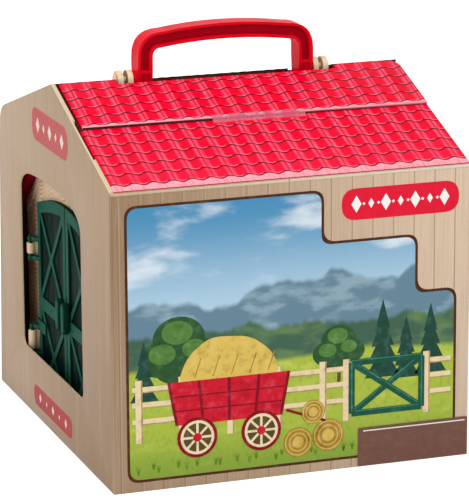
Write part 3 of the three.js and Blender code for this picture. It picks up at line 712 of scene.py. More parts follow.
@dataclass(frozen=True)
class EarMoulding:
    """Cream plastic with painted shade in the ears' grooves."""

    name: str
    middle: float
    groove: float
    half: float
    foot: float
    colour: Colour = (244, 222, 184)
    shade: Colour = (226, 198, 154)
    painted_shading: Colour = (150, 104, 64)

    def build(self) -> bpy.types.Material:
        """Makes the material.

        Returns:
            The material.
        """
        paint = Paint(self.name)
        cloud = paint.noise(6, 3)
        colour = paint.mix(self.colour, self.shade, cloud.rise(*HALF_COVER) * 0.6)
        # Painted shade in the groove between each ear's cheeks
        from_groove = (paint.x - self.middle).size() - self.groove
        inside = from_groove.band(0, self.half, 0.25) * paint.z.rise(self.foot, self.foot + 1)
        colour = paint.mix(colour, self.painted_shading, inside * 0.85)
        return paint.finish(colour, cloud * 0.1 + 0.45, cloud, 0.03, Specular_IOR_Level=0.2)


@dataclass(frozen=True)
class GrainedMoulding:
    """Cream plastic with wood grain moulded and washed in brown, plain before a given place."""

    name: str
    colour: Colour = (200, 160, 124)
    pale: Colour = (222, 188, 150)
    grain: Colour = (128, 84, 50)
    pitch: float = 3.0
    drift: float = 34.0
    level: bool = False
    plain_before: float = -123.5

    def build(self) -> bpy.types.Material:
        """Makes the material.

        Returns:
            The material.
        """
        paint = Paint(self.name)
        bend = paint.noise(26, 2, (1, 1, 3.2), 0.7)
        along = paint.z if self.level else paint.x + paint.y
        lines = ((along + bend * self.drift) / self.pitch).centred().size()
        fade = paint.noise(12, 2, (1, 1, 2.5), 4.4)
        grained = paint.x.rise(self.plain_before, self.plain_before + 1)
        groove = lines.rise(0.22, 0.04) * fade.rise(0.3, 0.6) * grained
        colour = paint.mix(self.colour, self.pale, fade.rise(0.4, 0.7))
        colour = paint.mix(colour, self.grain, groove * 0.7)
        return paint.finish(colour, fade * 0.1 + 0.45, groove * -1.0 + 1.0, 0.15, Specular_IOR_Level=0.3)


@dataclass(frozen=True)
class DoorMoulding:
    """Green door plastic, with painted light on the raised frame and braces and painted shade in the
    recessed panels.
    """

    name: str
    panel: float
    # raised and ridge are painted light on the raised faces, recess is painted shade
    raised: Colour = (34, 88, 70)
    ridge: Colour = (70, 124, 104)
    body: Colour = (8, 52, 40)
    recess: Colour = (0, 24, 19)
    step: Point = (0.3, 0.9)

    def build(self) -> bpy.types.Material:
        """Makes the material.

        Returns:
            The material.
        """
        paint = Paint(self.name)
        grain = paint.noise(1.0, 3, (1, 1, 18))
        cloud = paint.noise(12, 2, (1, 1, 2), 3.3)
        # Painted shade in the recesses, painted light on the raised faces that face out
        proud = paint.x.rise(self.panel - self.step[0], self.panel - self.step[1])
        face = proud * paint.normal_x.rise(-0.3, -0.8)
        colour = paint.mix(self.recess, self.body, grain.rise(*THIN_COVER) * 0.5)
        colour = paint.mix(colour, self.body, proud)
        colour = paint.mix(colour, self.raised, face * (cloud * 0.5 + 0.6))
        colour = paint.mix(colour, self.ridge, face * grain.rise(0.5, 0.72) * 0.35)
        return paint.finish(colour, grain * 0.1 + 0.55, grain, 0.06, Specular_IOR_Level=0.04)


@dataclass(frozen=True)
class ClosingFilm:
    """Thin clear film with a few flat creases, milky where it bridges the flap's lower edge."""

    name: str
    bridge: float
    tint: Colour = (250, 170, 188)
    fold: Colour = (238, 84, 120)
    milk_middle: float = -0.4
    milk_half: float = 1.6
    milk_fade: float = 2.4

    def build(self) -> bpy.types.Material:
        """Makes the material.

        Returns:
            The material.
        """
        paint = Paint(self.name)
        crease = paint.noise(5, 3, (1, 6, 6))
        colour = paint.mix(self.tint, self.fold, crease.rise(0.4, 0.65) * 0.8)
        milk = (paint.y - self.bridge).band(self.milk_middle, self.milk_half, self.milk_fade)
        paint.feed(paint.shader.inputs["Alpha"], milk * (crease.rise(0.35, 0.7) * 0.45 + 0.25))
        return paint.finish(colour, crease * 0.2 + 0.4, crease, 0.02, Specular_IOR_Level=0.1)


class Tint(Enum):
    """The inks of the print, apart from the landscape's own."""

    FRAME = Ink("frame_ink", (74, 38, 16))
    BARK = Ink("bark_ink", (98, 70, 46), 0.25)
    LEAF_DARK = Ink("leaf_dark_ink", (44, 84, 46))
    LEAF_LIGHT = Ink("leaf_light_ink", (84, 128, 60), 0.14)
    FIR = Ink("fir_ink", (30, 70, 56))
    RAIL = Ink("rail_ink", (236, 214, 170), 0.1)
    RAIL_SHADE = Ink("rail_shade_ink", (186, 150, 104), 0.2)
    GATE = Ink("gate_ink", (22, 82, 64), 0.1)
    GATE_GLINT = Ink("gate_glint_ink", (58, 126, 104), 0.2)
    WAGON = Ink("wagon_ink", (206, 22, 44), 0.15)
    WAGON_SHADE = Ink("wagon_shade_ink", (134, 8, 28), 0.15)
    STRAW = Ink("straw_ink", (222, 190, 92))
    STRAW_SHADE = Ink("straw_shade_ink", (176, 138, 54), 0.25)
    SPOKE = Ink("spoke_ink", (240, 218, 176), 0.15)
    WHEEL_GAP = Ink("wheel_gap_ink", (86, 70, 40))
    BALE = Ink("bale_ink", (214, 182, 88))
    BALE_RING = Ink("bale_ring_ink", (170, 132, 52), 0.2)
    TUFT = Ink("tuft_ink", (96, 132, 30), 0.3)
    LABEL = Ink("label_ink", (228, 22, 52), 0.03, 0.35)
    WHITE = Ink("white_ink", (250, 246, 242), 0.04)
    BAR = Ink("bar_ink", (116, 80, 68), 0.04)
    RULE = Ink("rule_ink", (244, 240, 236), 0.04)
    UPPER_PLAQUE = Ink("upper_plaque_ink", (194, 72, 72), 0.05, 0.4)
    LOWER_PLAQUE = Ink("lower_plaque_ink", (174, 30, 38), 0.05, 0.4)
    PLAQUE_MARK = Ink("plaque_mark_ink", (240, 222, 212), 0.05)

    @cache
    def ink(self) -> bpy.types.Material:
        """The ink's material, made once."""
        return self.value.build()


@dataclass(frozen=True)
class Facing:
    """A flat face that print lies on: where it is, and the directions across, up and out of it."""

    origin: Vector
    across: Vector
    up: Vector
    out: Vector

    def point(self, place: Point, lift: float) -> Vector:
        """A point over the face.

        Args:
            place: millimetres across and up.
            lift: millimetres out of the face.

        Returns:
            The point in metres.
        """
        offset = self.across * place[0] + self.up * place[1] + self.out * lift
        return self.origin + offset * MM


def curve(start: Point, control: Point, end: Point, steps: int) -> list[Point]:
    """A bend between two points, drawn towards a third.

    Args:
        start: where it starts.
        control: the point that it is drawn towards.
        end: where it ends.
        steps: how many stretches it has.

    Returns:
        Its points.
    """
    first, middle, last = Vector(start), Vector(control), Vector(end)
    shares = [step / steps for step in range(steps + 1)]
    return [tuple(first * (1 - t) ** 2 + middle * 2 * t * (1 - t) + last * t ** 2) for t in shares]


def rounded(corners: list[Point], radius: float, steps: int = 6) -> list[Point]:
    """Rounds every corner of an outline.

    Args:
        corners: the outline's corners in order.
        radius: how far from each corner its round starts.
        steps: how many stretches a round has.

    Returns:
        The rounded outline.
    """
    points = []
    for index, corner in enumerate(corners):
        here = Vector(corner)
        before = Vector(corners[index - 1]) - here
        after = Vector(corners[(index + 1) % len(corners)]) - here
        reach = min(radius, before.length / 2, after.length / 2)
        points += curve(here + before.normalized() * reach, corner, here + after.normalized() * reach, steps)
    return points


def box_outline(low: Point, high: Point) -> list[Point]:
    """A rectangle.

    Args:
        low: its lower left corner.
        high: its upper right corner.

    Returns:
        The outline.
    """
    return [low, (high[0], low[1]), high, (low[0], high[1])]


def oval(middle: Point, half: Point, steps: int = 24) -> list[Point]:
    """An ellipse.

    Args:
        middle: its centre.
        half: its two radii.
        steps: its number of points.

    Returns:
        The outline.
    """
    turns = [math.tau * index / steps for index in range(steps)]
    return [(middle[0] + half[0] * math.cos(t), middle[1] + half[1] * math.sin(t)) for t in turns]


def disc(middle: Point, radius: float, steps: int = 24) -> list[Point]:
    """A circle.

    Args:
        middle: its centre.
        radius: its radius.
        steps: its number of points.

    Returns:
        The outline.
    """
    return oval(middle, (radius, radius), steps)


def bar(start: Point, end: Point, width: float) -> list[Point]:
    """A straight bar between two points.

    Args:
        start: the middle of one end.
        end: the middle of the other.
        width: its width.

    Returns:
        The outline.
    """
    first, last = Vector(start), Vector(end)
    side = (last - first).normalized().orthogonal() * (width / 2)
    return [tuple(first + side), tuple(last + side), tuple(last - side), tuple(first - side)]


def loft(rings: list[list[Vector]], closed: bool = True) -> tuple[list[Vector], list[tuple[int, ...]]]:
    """Joins rings of points with one skin.

    Args:
        rings: the rings in order, each with the same number of points.
        closed: whether one face closes each end.

    Returns:
        The skin's points and its faces.
    """
    count = len(rings[0])
    vertices = [point for ring in rings for point in ring]
    last = len(vertices) - count
    faces = []
    for first in range(0, last, count):
        for corner in range(count):
            after = (corner + 1) % count
            faces.append((first + corner, first + after, first + count + after, first + count + corner))
    if closed:
        faces += [tuple(reversed(range(count))), tuple(range(last, len(vertices)))]
    return vertices, faces


def mesh_object(name: str, vertices: list[Vector], faces: list[tuple[int, ...]],
                materials: list[bpy.types.Material], indices: list[int] | None = None,
                smooth: bool = False) -> bpy.types.Object:
    """Makes a mesh object.

    Args:
        name: the piece's name.
        vertices: its points in metres.
        faces: the points of each face.
        materials: its materials.
        indices: the material of each face, the first where left out.
        smooth: whether it is shaded smooth.

    Returns:
        The object, linked to the scene.
    """
    mesh = bpy.data.meshes.new(name)
    mesh.from_pydata([tuple(v) for v in vertices], [], faces)
    for material in materials:
        mesh.materials.append(material)
    for polygon, index in zip(mesh.polygons, indices or [0] * len(faces)):
        polygon.material_index = index
        polygon.use_smooth = smooth
    mesh.validate()
    made = bpy.data.objects.new(name, mesh)
    bpy.context.scene.collection.objects.link(made)
    return made


def seat(piece: bpy.types.Object, body: str) -> None:
    """Seats a new piece on its body and reports it.

    Args:
        piece: the piece.
        body: the body that it rides on.
    """
    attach(piece, body)
    LOG.info("made %s on %s", piece.name, body)


def round_edges(shown: bpy.types.Object, width: float, segments: int = 2, angle: float = 35.0) -> None:
    """Rounds the edges of an object for the render.

    Args:
        shown: the object.
        width: how far from each edge the round starts.
        segments: how many stretches the round has.
        angle: the least angle of an edge that is rounded, in degrees.
    """
    weld = shown.modifiers.new("weld", "WELD")
    weld.merge_threshold = WELD_REACH * MM
    bevel = shown.modifiers.new("round", "BEVEL")
    bevel.width = width * MM
    bevel.segments = segments
    bevel.limit_method = "ANGLE"
    bevel.angle_limit = math.radians(angle)
    bevel.harden_normals = True
    bevel.use_clamp_overlap = True
    shown.data.shade_smooth()


def dress(node: str, material: bpy.types.Material, width: float = 0.0, segments: int = 2) -> None:
    """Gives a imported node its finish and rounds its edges.

    Args:
        node: the node's name.
        material: the finish.
        width: how far from each edge its round starts, 0 to leave the edges as they are.
        segments: how many stretches the round has.
    """
    shown = frame["nodes"][node]
    shown.data.materials.clear()
    shown.data.materials.append(material)
    if width:
        round_edges(shown, width, segments)
    LOG.info("dressed %s with %s", node, material.name)


@dataclass
class PrintedPiece:
    """Flat shapes printed on one face of the carton, each a very thin layer of ink."""

    name: str
    facing: Facing
    ink: float = 0.02
    gap: float = 0.4
    vertices: list[Vector] = field(default_factory=list)
    faces: list[tuple[int, ...]] = field(default_factory=list)
    materials: list[bpy.types.Material] = field(default_factory=list)
    indices: list[int] = field(default_factory=list)

    def add(self, outline: list[Point], material: bpy.types.Material, layer: int) -> None:
        """Adds one shape.

        Args:
            outline: its corners, in millimetres across and up the face.
            material: its ink.
            layer: how many layers lie under it.
        """
        if material not in self.materials:
            self.materials.append(material)
        area = sum(a[0] * b[1] - b[0] * a[1] for a, b in zip(outline, outline[1:] + outline[:1]))
        ordered = outline if area > 0 else outline[::-1]
        low = self.ink * (layer + self.gap)
        first = len(self.vertices)
        vertices, faces = loft([[self.facing.point(place, lift) for place in ordered]
                                for lift in (low, low + self.ink)])
        self.vertices += vertices
        self.faces += [tuple(first + corner for corner in face) for face in faces]
        self.indices += [self.materials.index(material)] * len(faces)

    def place(self) -> None:
        """Makes the piece and seats it on the carton."""
        made = mesh_object(self.name, self.vertices, self.faces, self.materials, self.indices)
        seat(made, "carton")


@dataclass
class Carton:
    """The printed sleeve round the stable: plates, worn slot edge dark with painted shade, creases and
    closing film.
    """

    front_eave: float = 217.9
    back_eave: float = 223.6
    back_lean: float = 13.7
    back_round: float = 15.0
    flap_face: float = 1.7
    wall_softness: float = 0.45
    roof_softness: float = 0.5
    roof_segments: int = 3
    # Painted shade on the back wall's inner face, tinted red as a painted reflection of the roof
    painted_shade_inside: Colour = (84, 50, 44)
    lip_back: float = 14.4
    lip_left: float = -55.4
    lip_right: float = 56.6
    lip_rise: float = 1.5
    lip_depth: float = 1.4
    lip_foot: float = -1.0
    lip_inner_foot: float = -0.2
    lip_slant: float = 0.3
    lip_wear: float = 0.1
    lip_wave: float = 2.7
    lip_steps: int = 28
    seamless: float = 1000.0
    crease: float = 0.8
    crease_lift: float = 0.1
    crease_steps: int = 6
    crease_sheet: float = 0.08
    crease_reach: Point = (1.3, 1.3)
    crease_foot: float = 0.4
    crease_head: float = 2.0
    back_crease: float = 0.985
    eave_reach: Point = (2.3, 0.6)
    eave_ends: Point = (0.4, 0.2)

    def measure(self) -> None:
        """Reads the places that the print follows from the frame."""
        self.ridge_y = next(j["pos_m"][1] for j in frame["joints"] if j["name"] == "flap_lift") / MM
        self.ridge_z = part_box("carton_door_end")[1].z / MM
        wall_low, wall_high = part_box("carton_front_wall")
        self.left = wall_low.x / MM
        self.right = wall_high.x / MM
        self.front = wall_low.y / MM
        self.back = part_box("carton_back_wall")[1].y / MM
        flap_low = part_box("ridge_flap")[0]
        self.flap_left = flap_low.x / MM
        self.flap_foot = (flap_low.y / MM, flap_low.z / MM + self.flap_face)
        self.slope_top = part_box("carton_front_slope")[1].z / MM
        LOG.info("carton from %.1f to %.1f, ridge at %.1f", self.left, self.right, self.ridge_y)

    def build(self) -> None:
        """Makes and dresses the carton."""
        self.measure()
        self.dress_walls()
        self.dress_roof()
        self.add_slot_lip()
        self.add_creases()

    def dress_walls(self) -> None:
        """Gives the walls their plank print."""
        for side in Side:
            # The back wall's inner face takes painted shade
            inside = self.painted_shade_inside if side is Side.BACK else PlankBoard.inside
            planks = PlankBoard(f"{side.name.lower()}_planks", side, inside=inside)
            dress(side.node, planks.build(), self.wall_softness)

    def dress_roof(self) -> None:
        """Gives the slopes and the flap their tile print, and the seal its film."""
        ridge = (self.ridge_y, self.ridge_z)
        slopes = {
            "carton_front_slope": TilePrint(
                "front_tiles", (self.front, self.front_eave), (self.ridge_y, self.slope_top),
                first_row=9.9, start=-107.6, crest=0.53, rim_width=2.3, pale_foot=True,
                flap_shadow_corner=(self.flap_left, self.flap_foot[0]),
            ),
            "carton_back_slope": TilePrint(
                "back_tiles", self.back_foot(), ridge, first_row=2.0, start=3.1, crest=0.53,
            ),
            "ridge_flap": TilePrint(
                "flap_tiles", self.flap_foot, ridge, first_row=3.2, start=-91.75, crest=0.98,
                red_end=0.5, split=0.8, row=12.4, swing=1.3, rim_width=2.4, rim=(255, 158, 174),
            ),
        }
        for node, tiles in slopes.items():
            dress(node, tiles.build(), self.roof_softness, self.roof_segments)
        dress("seal_label", ClosingFilm("closing_film", self.flap_foot[0]).build())

    def back_foot(self) -> Point:
        """The back slope's lower edge, as Y and Z."""
        return self.back - self.back_lean, self.back_eave

    def add_slot_lip(self) -> None:
        """Raises the burred edge of bare board along the back of the handle's slot."""
        foot_y, foot_z = self.back_foot()
        fall = (self.ridge_z - foot_z) / (foot_y - self.ridge_y)
        rings = []
        for step in range(self.lip_steps + 1):
            x = self.lip_left + (self.lip_right - self.lip_left) * (step / self.lip_steps)
            rise = self.lip_rise * (1 - self.lip_wear + self.lip_wear * math.sin(step * self.lip_wave))
            profile = ((0.0, self.lip_foot), (0.0, rise),
                       (self.lip_depth, rise - self.lip_slant), (self.lip_depth, self.lip_inner_foot))
            places = [(self.lip_back + depth, lift) for depth, lift in profile]
            rings.append([Vector((x, y, self.ridge_z - fall * (y - self.ridge_y) + lift)) * MM
                          for y, lift in places])
        # The lip's dark finish is painted shade inside the handle's slot
        made = mesh_object("slot_back_lip", *loft(rings), [SlotShadeBoard("slot_lip_painted_shade").build()])
        seat(made, "carton")

    def add_creases(self) -> None:
        """Closes the folds between the plates with the printed sheet's rounded creases."""
        planks = PlankBoard("crease_front", Side.FRONT, seam_pitch=self.seamless, all_round=True).build()
        upright = Vector((0, 0, self.front_eave - self.crease_head))
        lean = Vector((0, -self.back_lean / self.back_eave, 1))
        leaning = lean * ((self.back_eave - self.back_round) * self.back_crease)
        for wall, y, run in (("front", self.front, upright), ("back", self.back, leaning)):
            for end, x in (("left", self.left), ("right", self.right)):
                start = Vector((x, y, self.crease_foot))
                outward = Vector((math.copysign(1, x), 0, 0)), Vector((0, math.copysign(1, y), 0))
                self.crease_strip(f"crease_{wall}_{end}", (start, start + run), outward, planks,
                                  self.crease_reach)
        pitch = math.atan2(self.slope_top - self.front_eave, self.ridge_y - self.front)
        outward = Vector((0, -1, 0)), Vector((0, -math.sin(pitch), math.cos(pitch)))
        # Painted highlight: the eave's crease strip is printed much paler than the wall, for light along the
        # rounded fold
        eave_highlight = PlankBoard("crease_eave", Side.FRONT, base=(250, 230, 198), shade=(226, 202, 166),
                            light=(255, 244, 220), seam_pitch=self.seamless, all_round=True).build()
        start = Vector((self.left + self.eave_ends[0], self.front, self.front_eave))
        end = Vector((self.right - self.eave_ends[1], self.front, self.front_eave))
        self.crease_strip("crease_front_eave", (start, end), outward, eave_highlight, self.eave_reach)

    def crease_strip(self, name: str, corner: tuple[Vector, Vector], outward: tuple[Vector, Vector],
                     material: bpy.types.Material, reach: Point) -> None:
        """Lays a thin rounded strip along the corner between two faces.

        Args:
            name: the piece's name.
            corner: the two ends of the sharp corner, in millimetres.
            outward: the outward directions of the two faces.
            material: its finish.
            reach: how far it lies on the first and on the second face.
        """
        first, second = outward
        along = (corner[1] - corner[0]).normalized()
        sink = self.crease - self.crease_lift
        spread = first.angle(second)
        centre = -(first + second) * (sink / (1 + math.cos(spread)))
        ends = []
        for face, other, width in ((first, second, reach[0]), (second, first, reach[1])):
            away = along.cross(face).normalized()
            away *= -1 if away.dot(other) > 0 else 1
            ends.append(centre + face * self.crease + away * (width - sink))
        arc = []
        for step in range(self.crease_steps + 1):
            turn = spread * step / self.crease_steps
            blend = (first * math.sin(spread - turn) + second * math.sin(turn)) / math.sin(spread)
            arc.append(centre + blend * self.crease)
        outer = [ends[0], *arc, ends[1]]
        inner = [ends[0] - first * self.crease_sheet]
        inner += [point - (point - centre).normalized() * self.crease_sheet for point in arc]
        inner += [ends[1] - second * self.crease_sheet]
        rings = [[(base + point) * MM for point in outer + inner[::-1]] for base in corner]
        vertices, faces = loft(rings, closed=False)
        count = len(outer)
        for low in (0, 2 * count):
            high = low + 2 * count - 1
            for step in range(count - 1):
                faces.append((low + step, low + step + 1, high - step - 1, high - step))
        seat(mesh_object(name, vertices, faces, [material], smooth=True), "carton")


@dataclass(frozen=True)
class Slat:
    """How a printed bar looks: its width and ink, and the thin line printed along it."""

    width: float
    tint: Tint
    line_shift: Point
    line_width: float
    line_tint: Tint

    def draw(self, piece: PrintedPiece, start: Point, end: Point, layer: int) -> None:
        """Draws one bar with its line, which takes the next layer.

        Args:
            piece: the piece that it is printed in.
            start: the middle of one end.
            end: the middle of the other.
            layer: the bar's layer.
        """
        piece.add(bar(start, end, self.width), self.tint.ink(), layer)
        shifted = [(x + self.line_shift[0], z + self.line_shift[1]) for x, z in (start, end)]
        piece.add(bar(*shifted, self.line_width), self.line_tint.ink(), layer + 1)


@dataclass(frozen=True)
class Fir:
    """A printed fir of triangles, each narrower than the one below. Shares are of its height."""

    middle: float
    foot: float
    tall: float
    tiers: int = 4
    tier_rise: float = 0.2
    tier_tall: float = 0.4
    half: float = 0.24
    taper: float = 0.045
    layer: int = 2

    def draw(self, piece: PrintedPiece) -> None:
        """Draws the fir from its lowest tier up.

        Args:
            piece: the piece that it is printed in.
        """
        for tier in range(self.tiers):
            base = self.foot + self.tall * self.tier_rise * tier
            half = self.tall * (self.half - self.taper * tier)
            tip = (self.middle, base + self.tall * self.tier_tall)
            corners = [(self.middle - half, base), (self.middle + half, base), tip]
            piece.add(corners, Tint.FIR.ink(), self.layer + tier)


@dataclass(frozen=True)
class BroadTree:
    """A printed broad tree of round clumps on a trunk. Shares are of its size.

    A clump is how far across and up it is, and its radius.
    """

    middle: float
    foot: float
    size: float
    lean: float = 1.0
    trunk_tall: float = 1.5
    trunk_width: float = 0.16
    clumps: tuple[Triple, ...] = ((-0.55, 1.5, 0.62), (0.6, 1.55, 0.58), (0, 2.05, 0.78), (-0.1, 1.35, 0.7))
    clump_squash: float = 0.85
    lights: tuple[Triple, ...] = ((-0.5, 1.65, 0.4), (0.45, 1.75, 0.36), (-0.05, 2.25, 0.46))
    light_squash: float = 0.75
    layer: int = 2

    def draw(self, piece: PrintedPiece) -> None:
        """Draws the trunk, the dark clumps and the lit ones.

        Args:
            piece: the piece that it is printed in.
        """
        top = (self.middle + self.lean, self.foot + self.size * self.trunk_tall)
        trunk = bar((self.middle, self.foot), top, self.size * self.trunk_width)
        piece.add(trunk, Tint.BARK.ink(), self.layer)
        clumps = [(clump, self.clump_squash, Tint.LEAF_DARK) for clump in self.clumps]
        clumps += [(clump, self.light_squash, Tint.LEAF_LIGHT) for clump in self.lights]
        for layer, ((across, up, share), squash, tint) in enumerate(clumps, self.layer + 1):
            spot = (self.middle + across * self.size, self.foot + up * self.size)
            piece.add(oval(spot, (self.size * share, self.size * share * squash)), tint.ink(), layer)


@dataclass(frozen=True)
class Fence:
    """A printed rail fence with a braced gate in it."""

    left: float
    right: float
    foot: float
    top: float
    inset: float = 4.0
    gate: Point = (44.0, 98.0)
    gate_room: float = 4.0
    gate_lift: float = 1.0
    post_reach: float = 4.0
    first_post: float = 9.0
    posts: tuple[float, ...] = (-84.0, -48.0, -12.0, 22.0)
    rail_shares: tuple[float, ...] = (0.3, 0.62, 0.92)
    rail: Slat = Slat(4.2, Tint.RAIL, (0.0, -1.8), 0.9, Tint.RAIL_SHADE)
    post: Slat = Slat(5.4, Tint.RAIL, (2.1, 0.0), 1.1, Tint.RAIL_SHADE)
    brace: Slat = Slat(4.6, Tint.GATE, (0.0, 1.5), 0.7, Tint.GATE_GLINT)
    layer: int = 10

    def draw(self, piece: PrintedPiece) -> None:
        """Draws the rails, the posts and the gate.

        Args:
            piece: the piece that it is printed in.
        """
        before, behind = self.gate[0] - self.gate_room, self.gate[1] + self.gate_room
        for start, end in ((self.left + self.inset, before), (behind, self.right - self.inset)):
            for share in self.rail_shares:
                level = self.foot + (self.top - self.foot) * share
                self.rail.draw(piece, (start, level), (end, level), self.layer)
        for x in (self.left + self.first_post, *self.posts, before, behind):
            self.post.draw(piece, (x, self.foot - self.post_reach), (x, self.top + self.post_reach),
                           self.layer + 2)
        low, high = self.foot + self.gate_lift, self.top + self.gate_lift
        corners = box_outline((self.gate[0], low), (self.gate[1], high))
        for index, (first, last) in enumerate(((0, 2), (3, 1), (0, 1), (3, 2), (0, 3), (1, 2))):
            self.brace.draw(piece, corners[first], corners[last], self.layer + 4 + 2 * index)


@dataclass(frozen=True)
class Wheel:
    """A printed spoked wheel."""

    centre: Point
    radius: float = 15.0
    tyre: float = 2.4
    felloe: float = 4.4
    spoke_inset: float = 3.2
    spoke_width: float = 1.8
    spokes: int = 4
    hub: float = 3.2
    layer: int = 19

    def draw(self, piece: PrintedPiece) -> None:
        """Draws the tyre, the rim, the gaps, the spokes and the hub.

        Args:
            piece: the piece that it is printed in.
        """
        rings = ((0.0, Tint.WAGON_SHADE), (self.tyre, Tint.SPOKE), (self.felloe, Tint.WHEEL_GAP))
        for layer, (inset, tint) in enumerate(rings, self.layer):
            piece.add(disc(self.centre, self.radius - inset), tint.ink(), layer)
        hub = Vector(self.centre)
        first = self.layer + len(rings)
        for spoke in range(self.spokes):
            turn = math.pi * spoke / self.spokes
            reach = Vector((math.cos(turn), math.sin(turn))) * (self.radius - self.spoke_inset)
            across = bar(tuple(hub - reach), tuple(hub + reach), self.spoke_width)
            piece.add(across, Tint.SPOKE.ink(), first + spoke)
        piece.add(disc(self.centre, self.hub), Tint.WAGON.ink(), first + self.spokes)


@dataclass(frozen=True)
class Wagon:
    """A printed hay wagon: a load of straw in a boarded body, a pole and two wheels."""

    ground: float
    left: float = -92.0
    right: float = -6.0
    floor_rise: float = 12.0
    top_rise: float = 44.0
    floor_inset: float = 4.0
    flare: float = 2.0
    heap: tuple[Point, ...] = ((-39, -2), (39, -2), (33, 16), (16, 29), (-14, 31), (-31, 18))
    heap_round: float = 9.0
    stalk_shares: tuple[float, ...] = (0.2, 0.36, 0.52, 0.68, 0.84)
    stalk_foot: float = 2.0
    stalk: Point = (5.0, 14.0)
    stalk_width: float = 0.9
    board_shares: tuple[float, ...] = (0.33, 0.66)
    board_width: float = 1.0
    board_inset: float = 1.0
    stakes: int = 5
    stake_width: float = 2.2
    pole_rise: float = 3.0
    pole: Point = (30.0, -11.0)
    pole_width: float = 2.0
    wheel_inset: float = 19.0
    axle: float = 2.0
    layer: int = 14

    def draw(self, piece: PrintedPiece) -> None:
        """Draws the load, the body, the pole and the wheels.

        Args:
            piece: the piece that it is printed in.
        """
        left, right, layer = self.left, self.right, self.layer
        floor, top = self.ground + self.floor_rise, self.ground + self.top_rise
        shade = Tint.WAGON_SHADE.ink()
        middle = (left + right) / 2
        load = rounded([(middle + across, top + up) for across, up in self.heap], self.heap_round)
        piece.add(load, Tint.STRAW.ink(), layer)
        for share in self.stalk_shares:
            foot = (left + (right - left) * share, top + self.stalk_foot)
            stalk = bar(foot, (foot[0] + self.stalk[0], foot[1] + self.stalk[1]), self.stalk_width)
            piece.add(stalk, Tint.STRAW_SHADE.ink(), layer + 1)
        low = (left + self.floor_inset, right - self.floor_inset)
        high = (left - self.flare, right + self.flare)
        body = [(low[0], floor), (low[1], floor), (high[1], top), (high[0], top)]
        piece.add(body, Tint.WAGON.ink(), layer + 2)
        ends = (left + self.board_inset, right - self.board_inset)
        for share in self.board_shares:
            level = floor + (top - floor) * share
            piece.add(bar((ends[0], level), (ends[1], level), self.board_width), shade, layer + 3)
        for index in range(self.stakes):
            share = index / (self.stakes - 1)
            foot, head = (edge[0] + (edge[1] - edge[0]) * share for edge in (low, high))
            piece.add(bar((foot, floor), (head, top), self.stake_width), shade, layer + 4)
        hitch = (right, floor + self.pole_rise)
        pole = bar(hitch, (hitch[0] + self.pole[0], hitch[1] + self.pole[1]), self.pole_width)
        piece.add(pole, shade, layer)
        for x in (left + self.wheel_inset, right - self.wheel_inset):
            Wheel((x, self.ground + self.axle)).draw(piece)


@dataclass(frozen=True)
class Bale:
    """A printed round bale, seen from its end, with its straw wound in rings."""

    centre: Point
    radius: float
    turns: int = 3
    first_share: float = 0.92
    share_step: float = 0.27
    line: float = 0.9
    layer: int = 14

    def draw(self, piece: PrintedPiece) -> None:
        """Draws the bale from its outer ring in.

        Args:
            piece: the piece that it is printed in.
        """
        straw, ring = Tint.BALE.ink(), Tint.BALE_RING.ink()
        piece.add(disc(self.centre, self.radius), ring, self.layer)
        for turn in range(self.turns):
            size = self.radius * (self.first_share - self.share_step * turn)
            layer = self.layer + 1 + 2 * turn
            piece.add(disc(self.centre, size), straw, layer)
            heart = turn == self.turns - 1
            piece.add(disc(self.centre, size - self.line), straw if heart else ring, layer + 1)


@dataclass(frozen=True)
class Tufts:
    """A printed row of grass tufts of three blades each, unevenly spaced."""

    left: float
    low: float
    count: int = 26
    pitch: float = 9.1
    drift: float = 3.2
    rise: float = 3.0
    tall: float = 6.5
    half: float = 0.7
    leans: Triple = (-1.6, 0.2, 1.9)
    drift_turn: float = 2.4
    rise_turn: float = 1.7
    layer: int = 3

    def draw(self, piece: PrintedPiece) -> None:
        """Draws the tufts from the left.

        Args:
            piece: the piece that they are printed in.
        """
        for index in range(self.count):
            x = self.left + index * self.pitch + self.drift * math.sin(index * self.drift_turn)
            z = self.low + self.rise * math.sin(index * self.rise_turn) ** 2
            for layer, lean in enumerate(self.leans, self.layer):
                blade = [(x - self.half, z), (x + self.half, z), (x + lean, z + self.tall)]
                piece.add(blade, Tint.TUFT.ink(), layer)


@dataclass(frozen=True)
class Plaque:
    """A plain pill with a row of diamonds, tall and short by turns, and dots between them."""

    name: str
    low: Point
    high: Point
    corner: float
    ground: Tint
    mark: Tint
    marks: int
    tall: float
    short: float
    slim: float
    dot: float = 0.0
    dot_steps: int = 12
    corner_steps: int = 8
    layer: int = 0

    def place(self, facing: Facing) -> None:
        """Prints the plaque as a piece of its own.

        Args:
            facing: the face that it lies on.
        """
        piece = PrintedPiece(self.name, facing)
        pill = rounded(box_outline(self.low, self.high), self.corner, self.corner_steps)
        piece.add(pill, self.ground.ink(), self.layer)
        level = (self.low[1] + self.high[1]) / 2
        pitch = (self.high[0] - self.low[0]) / (self.marks + 1)
        for index in range(self.marks):
            x = self.low[0] + pitch * (index + 1)
            half = self.short if index % 2 else self.tall
            piece.add(oval((x, level), (half * self.slim, half), 4), self.mark.ink(), self.layer + 1)
            if self.dot and index + 1 < self.marks:
                dot = disc((x + pitch / 2, level), self.dot, self.dot_steps)
                piece.add(dot, self.mark.ink(), self.layer + 1)
        piece.place()


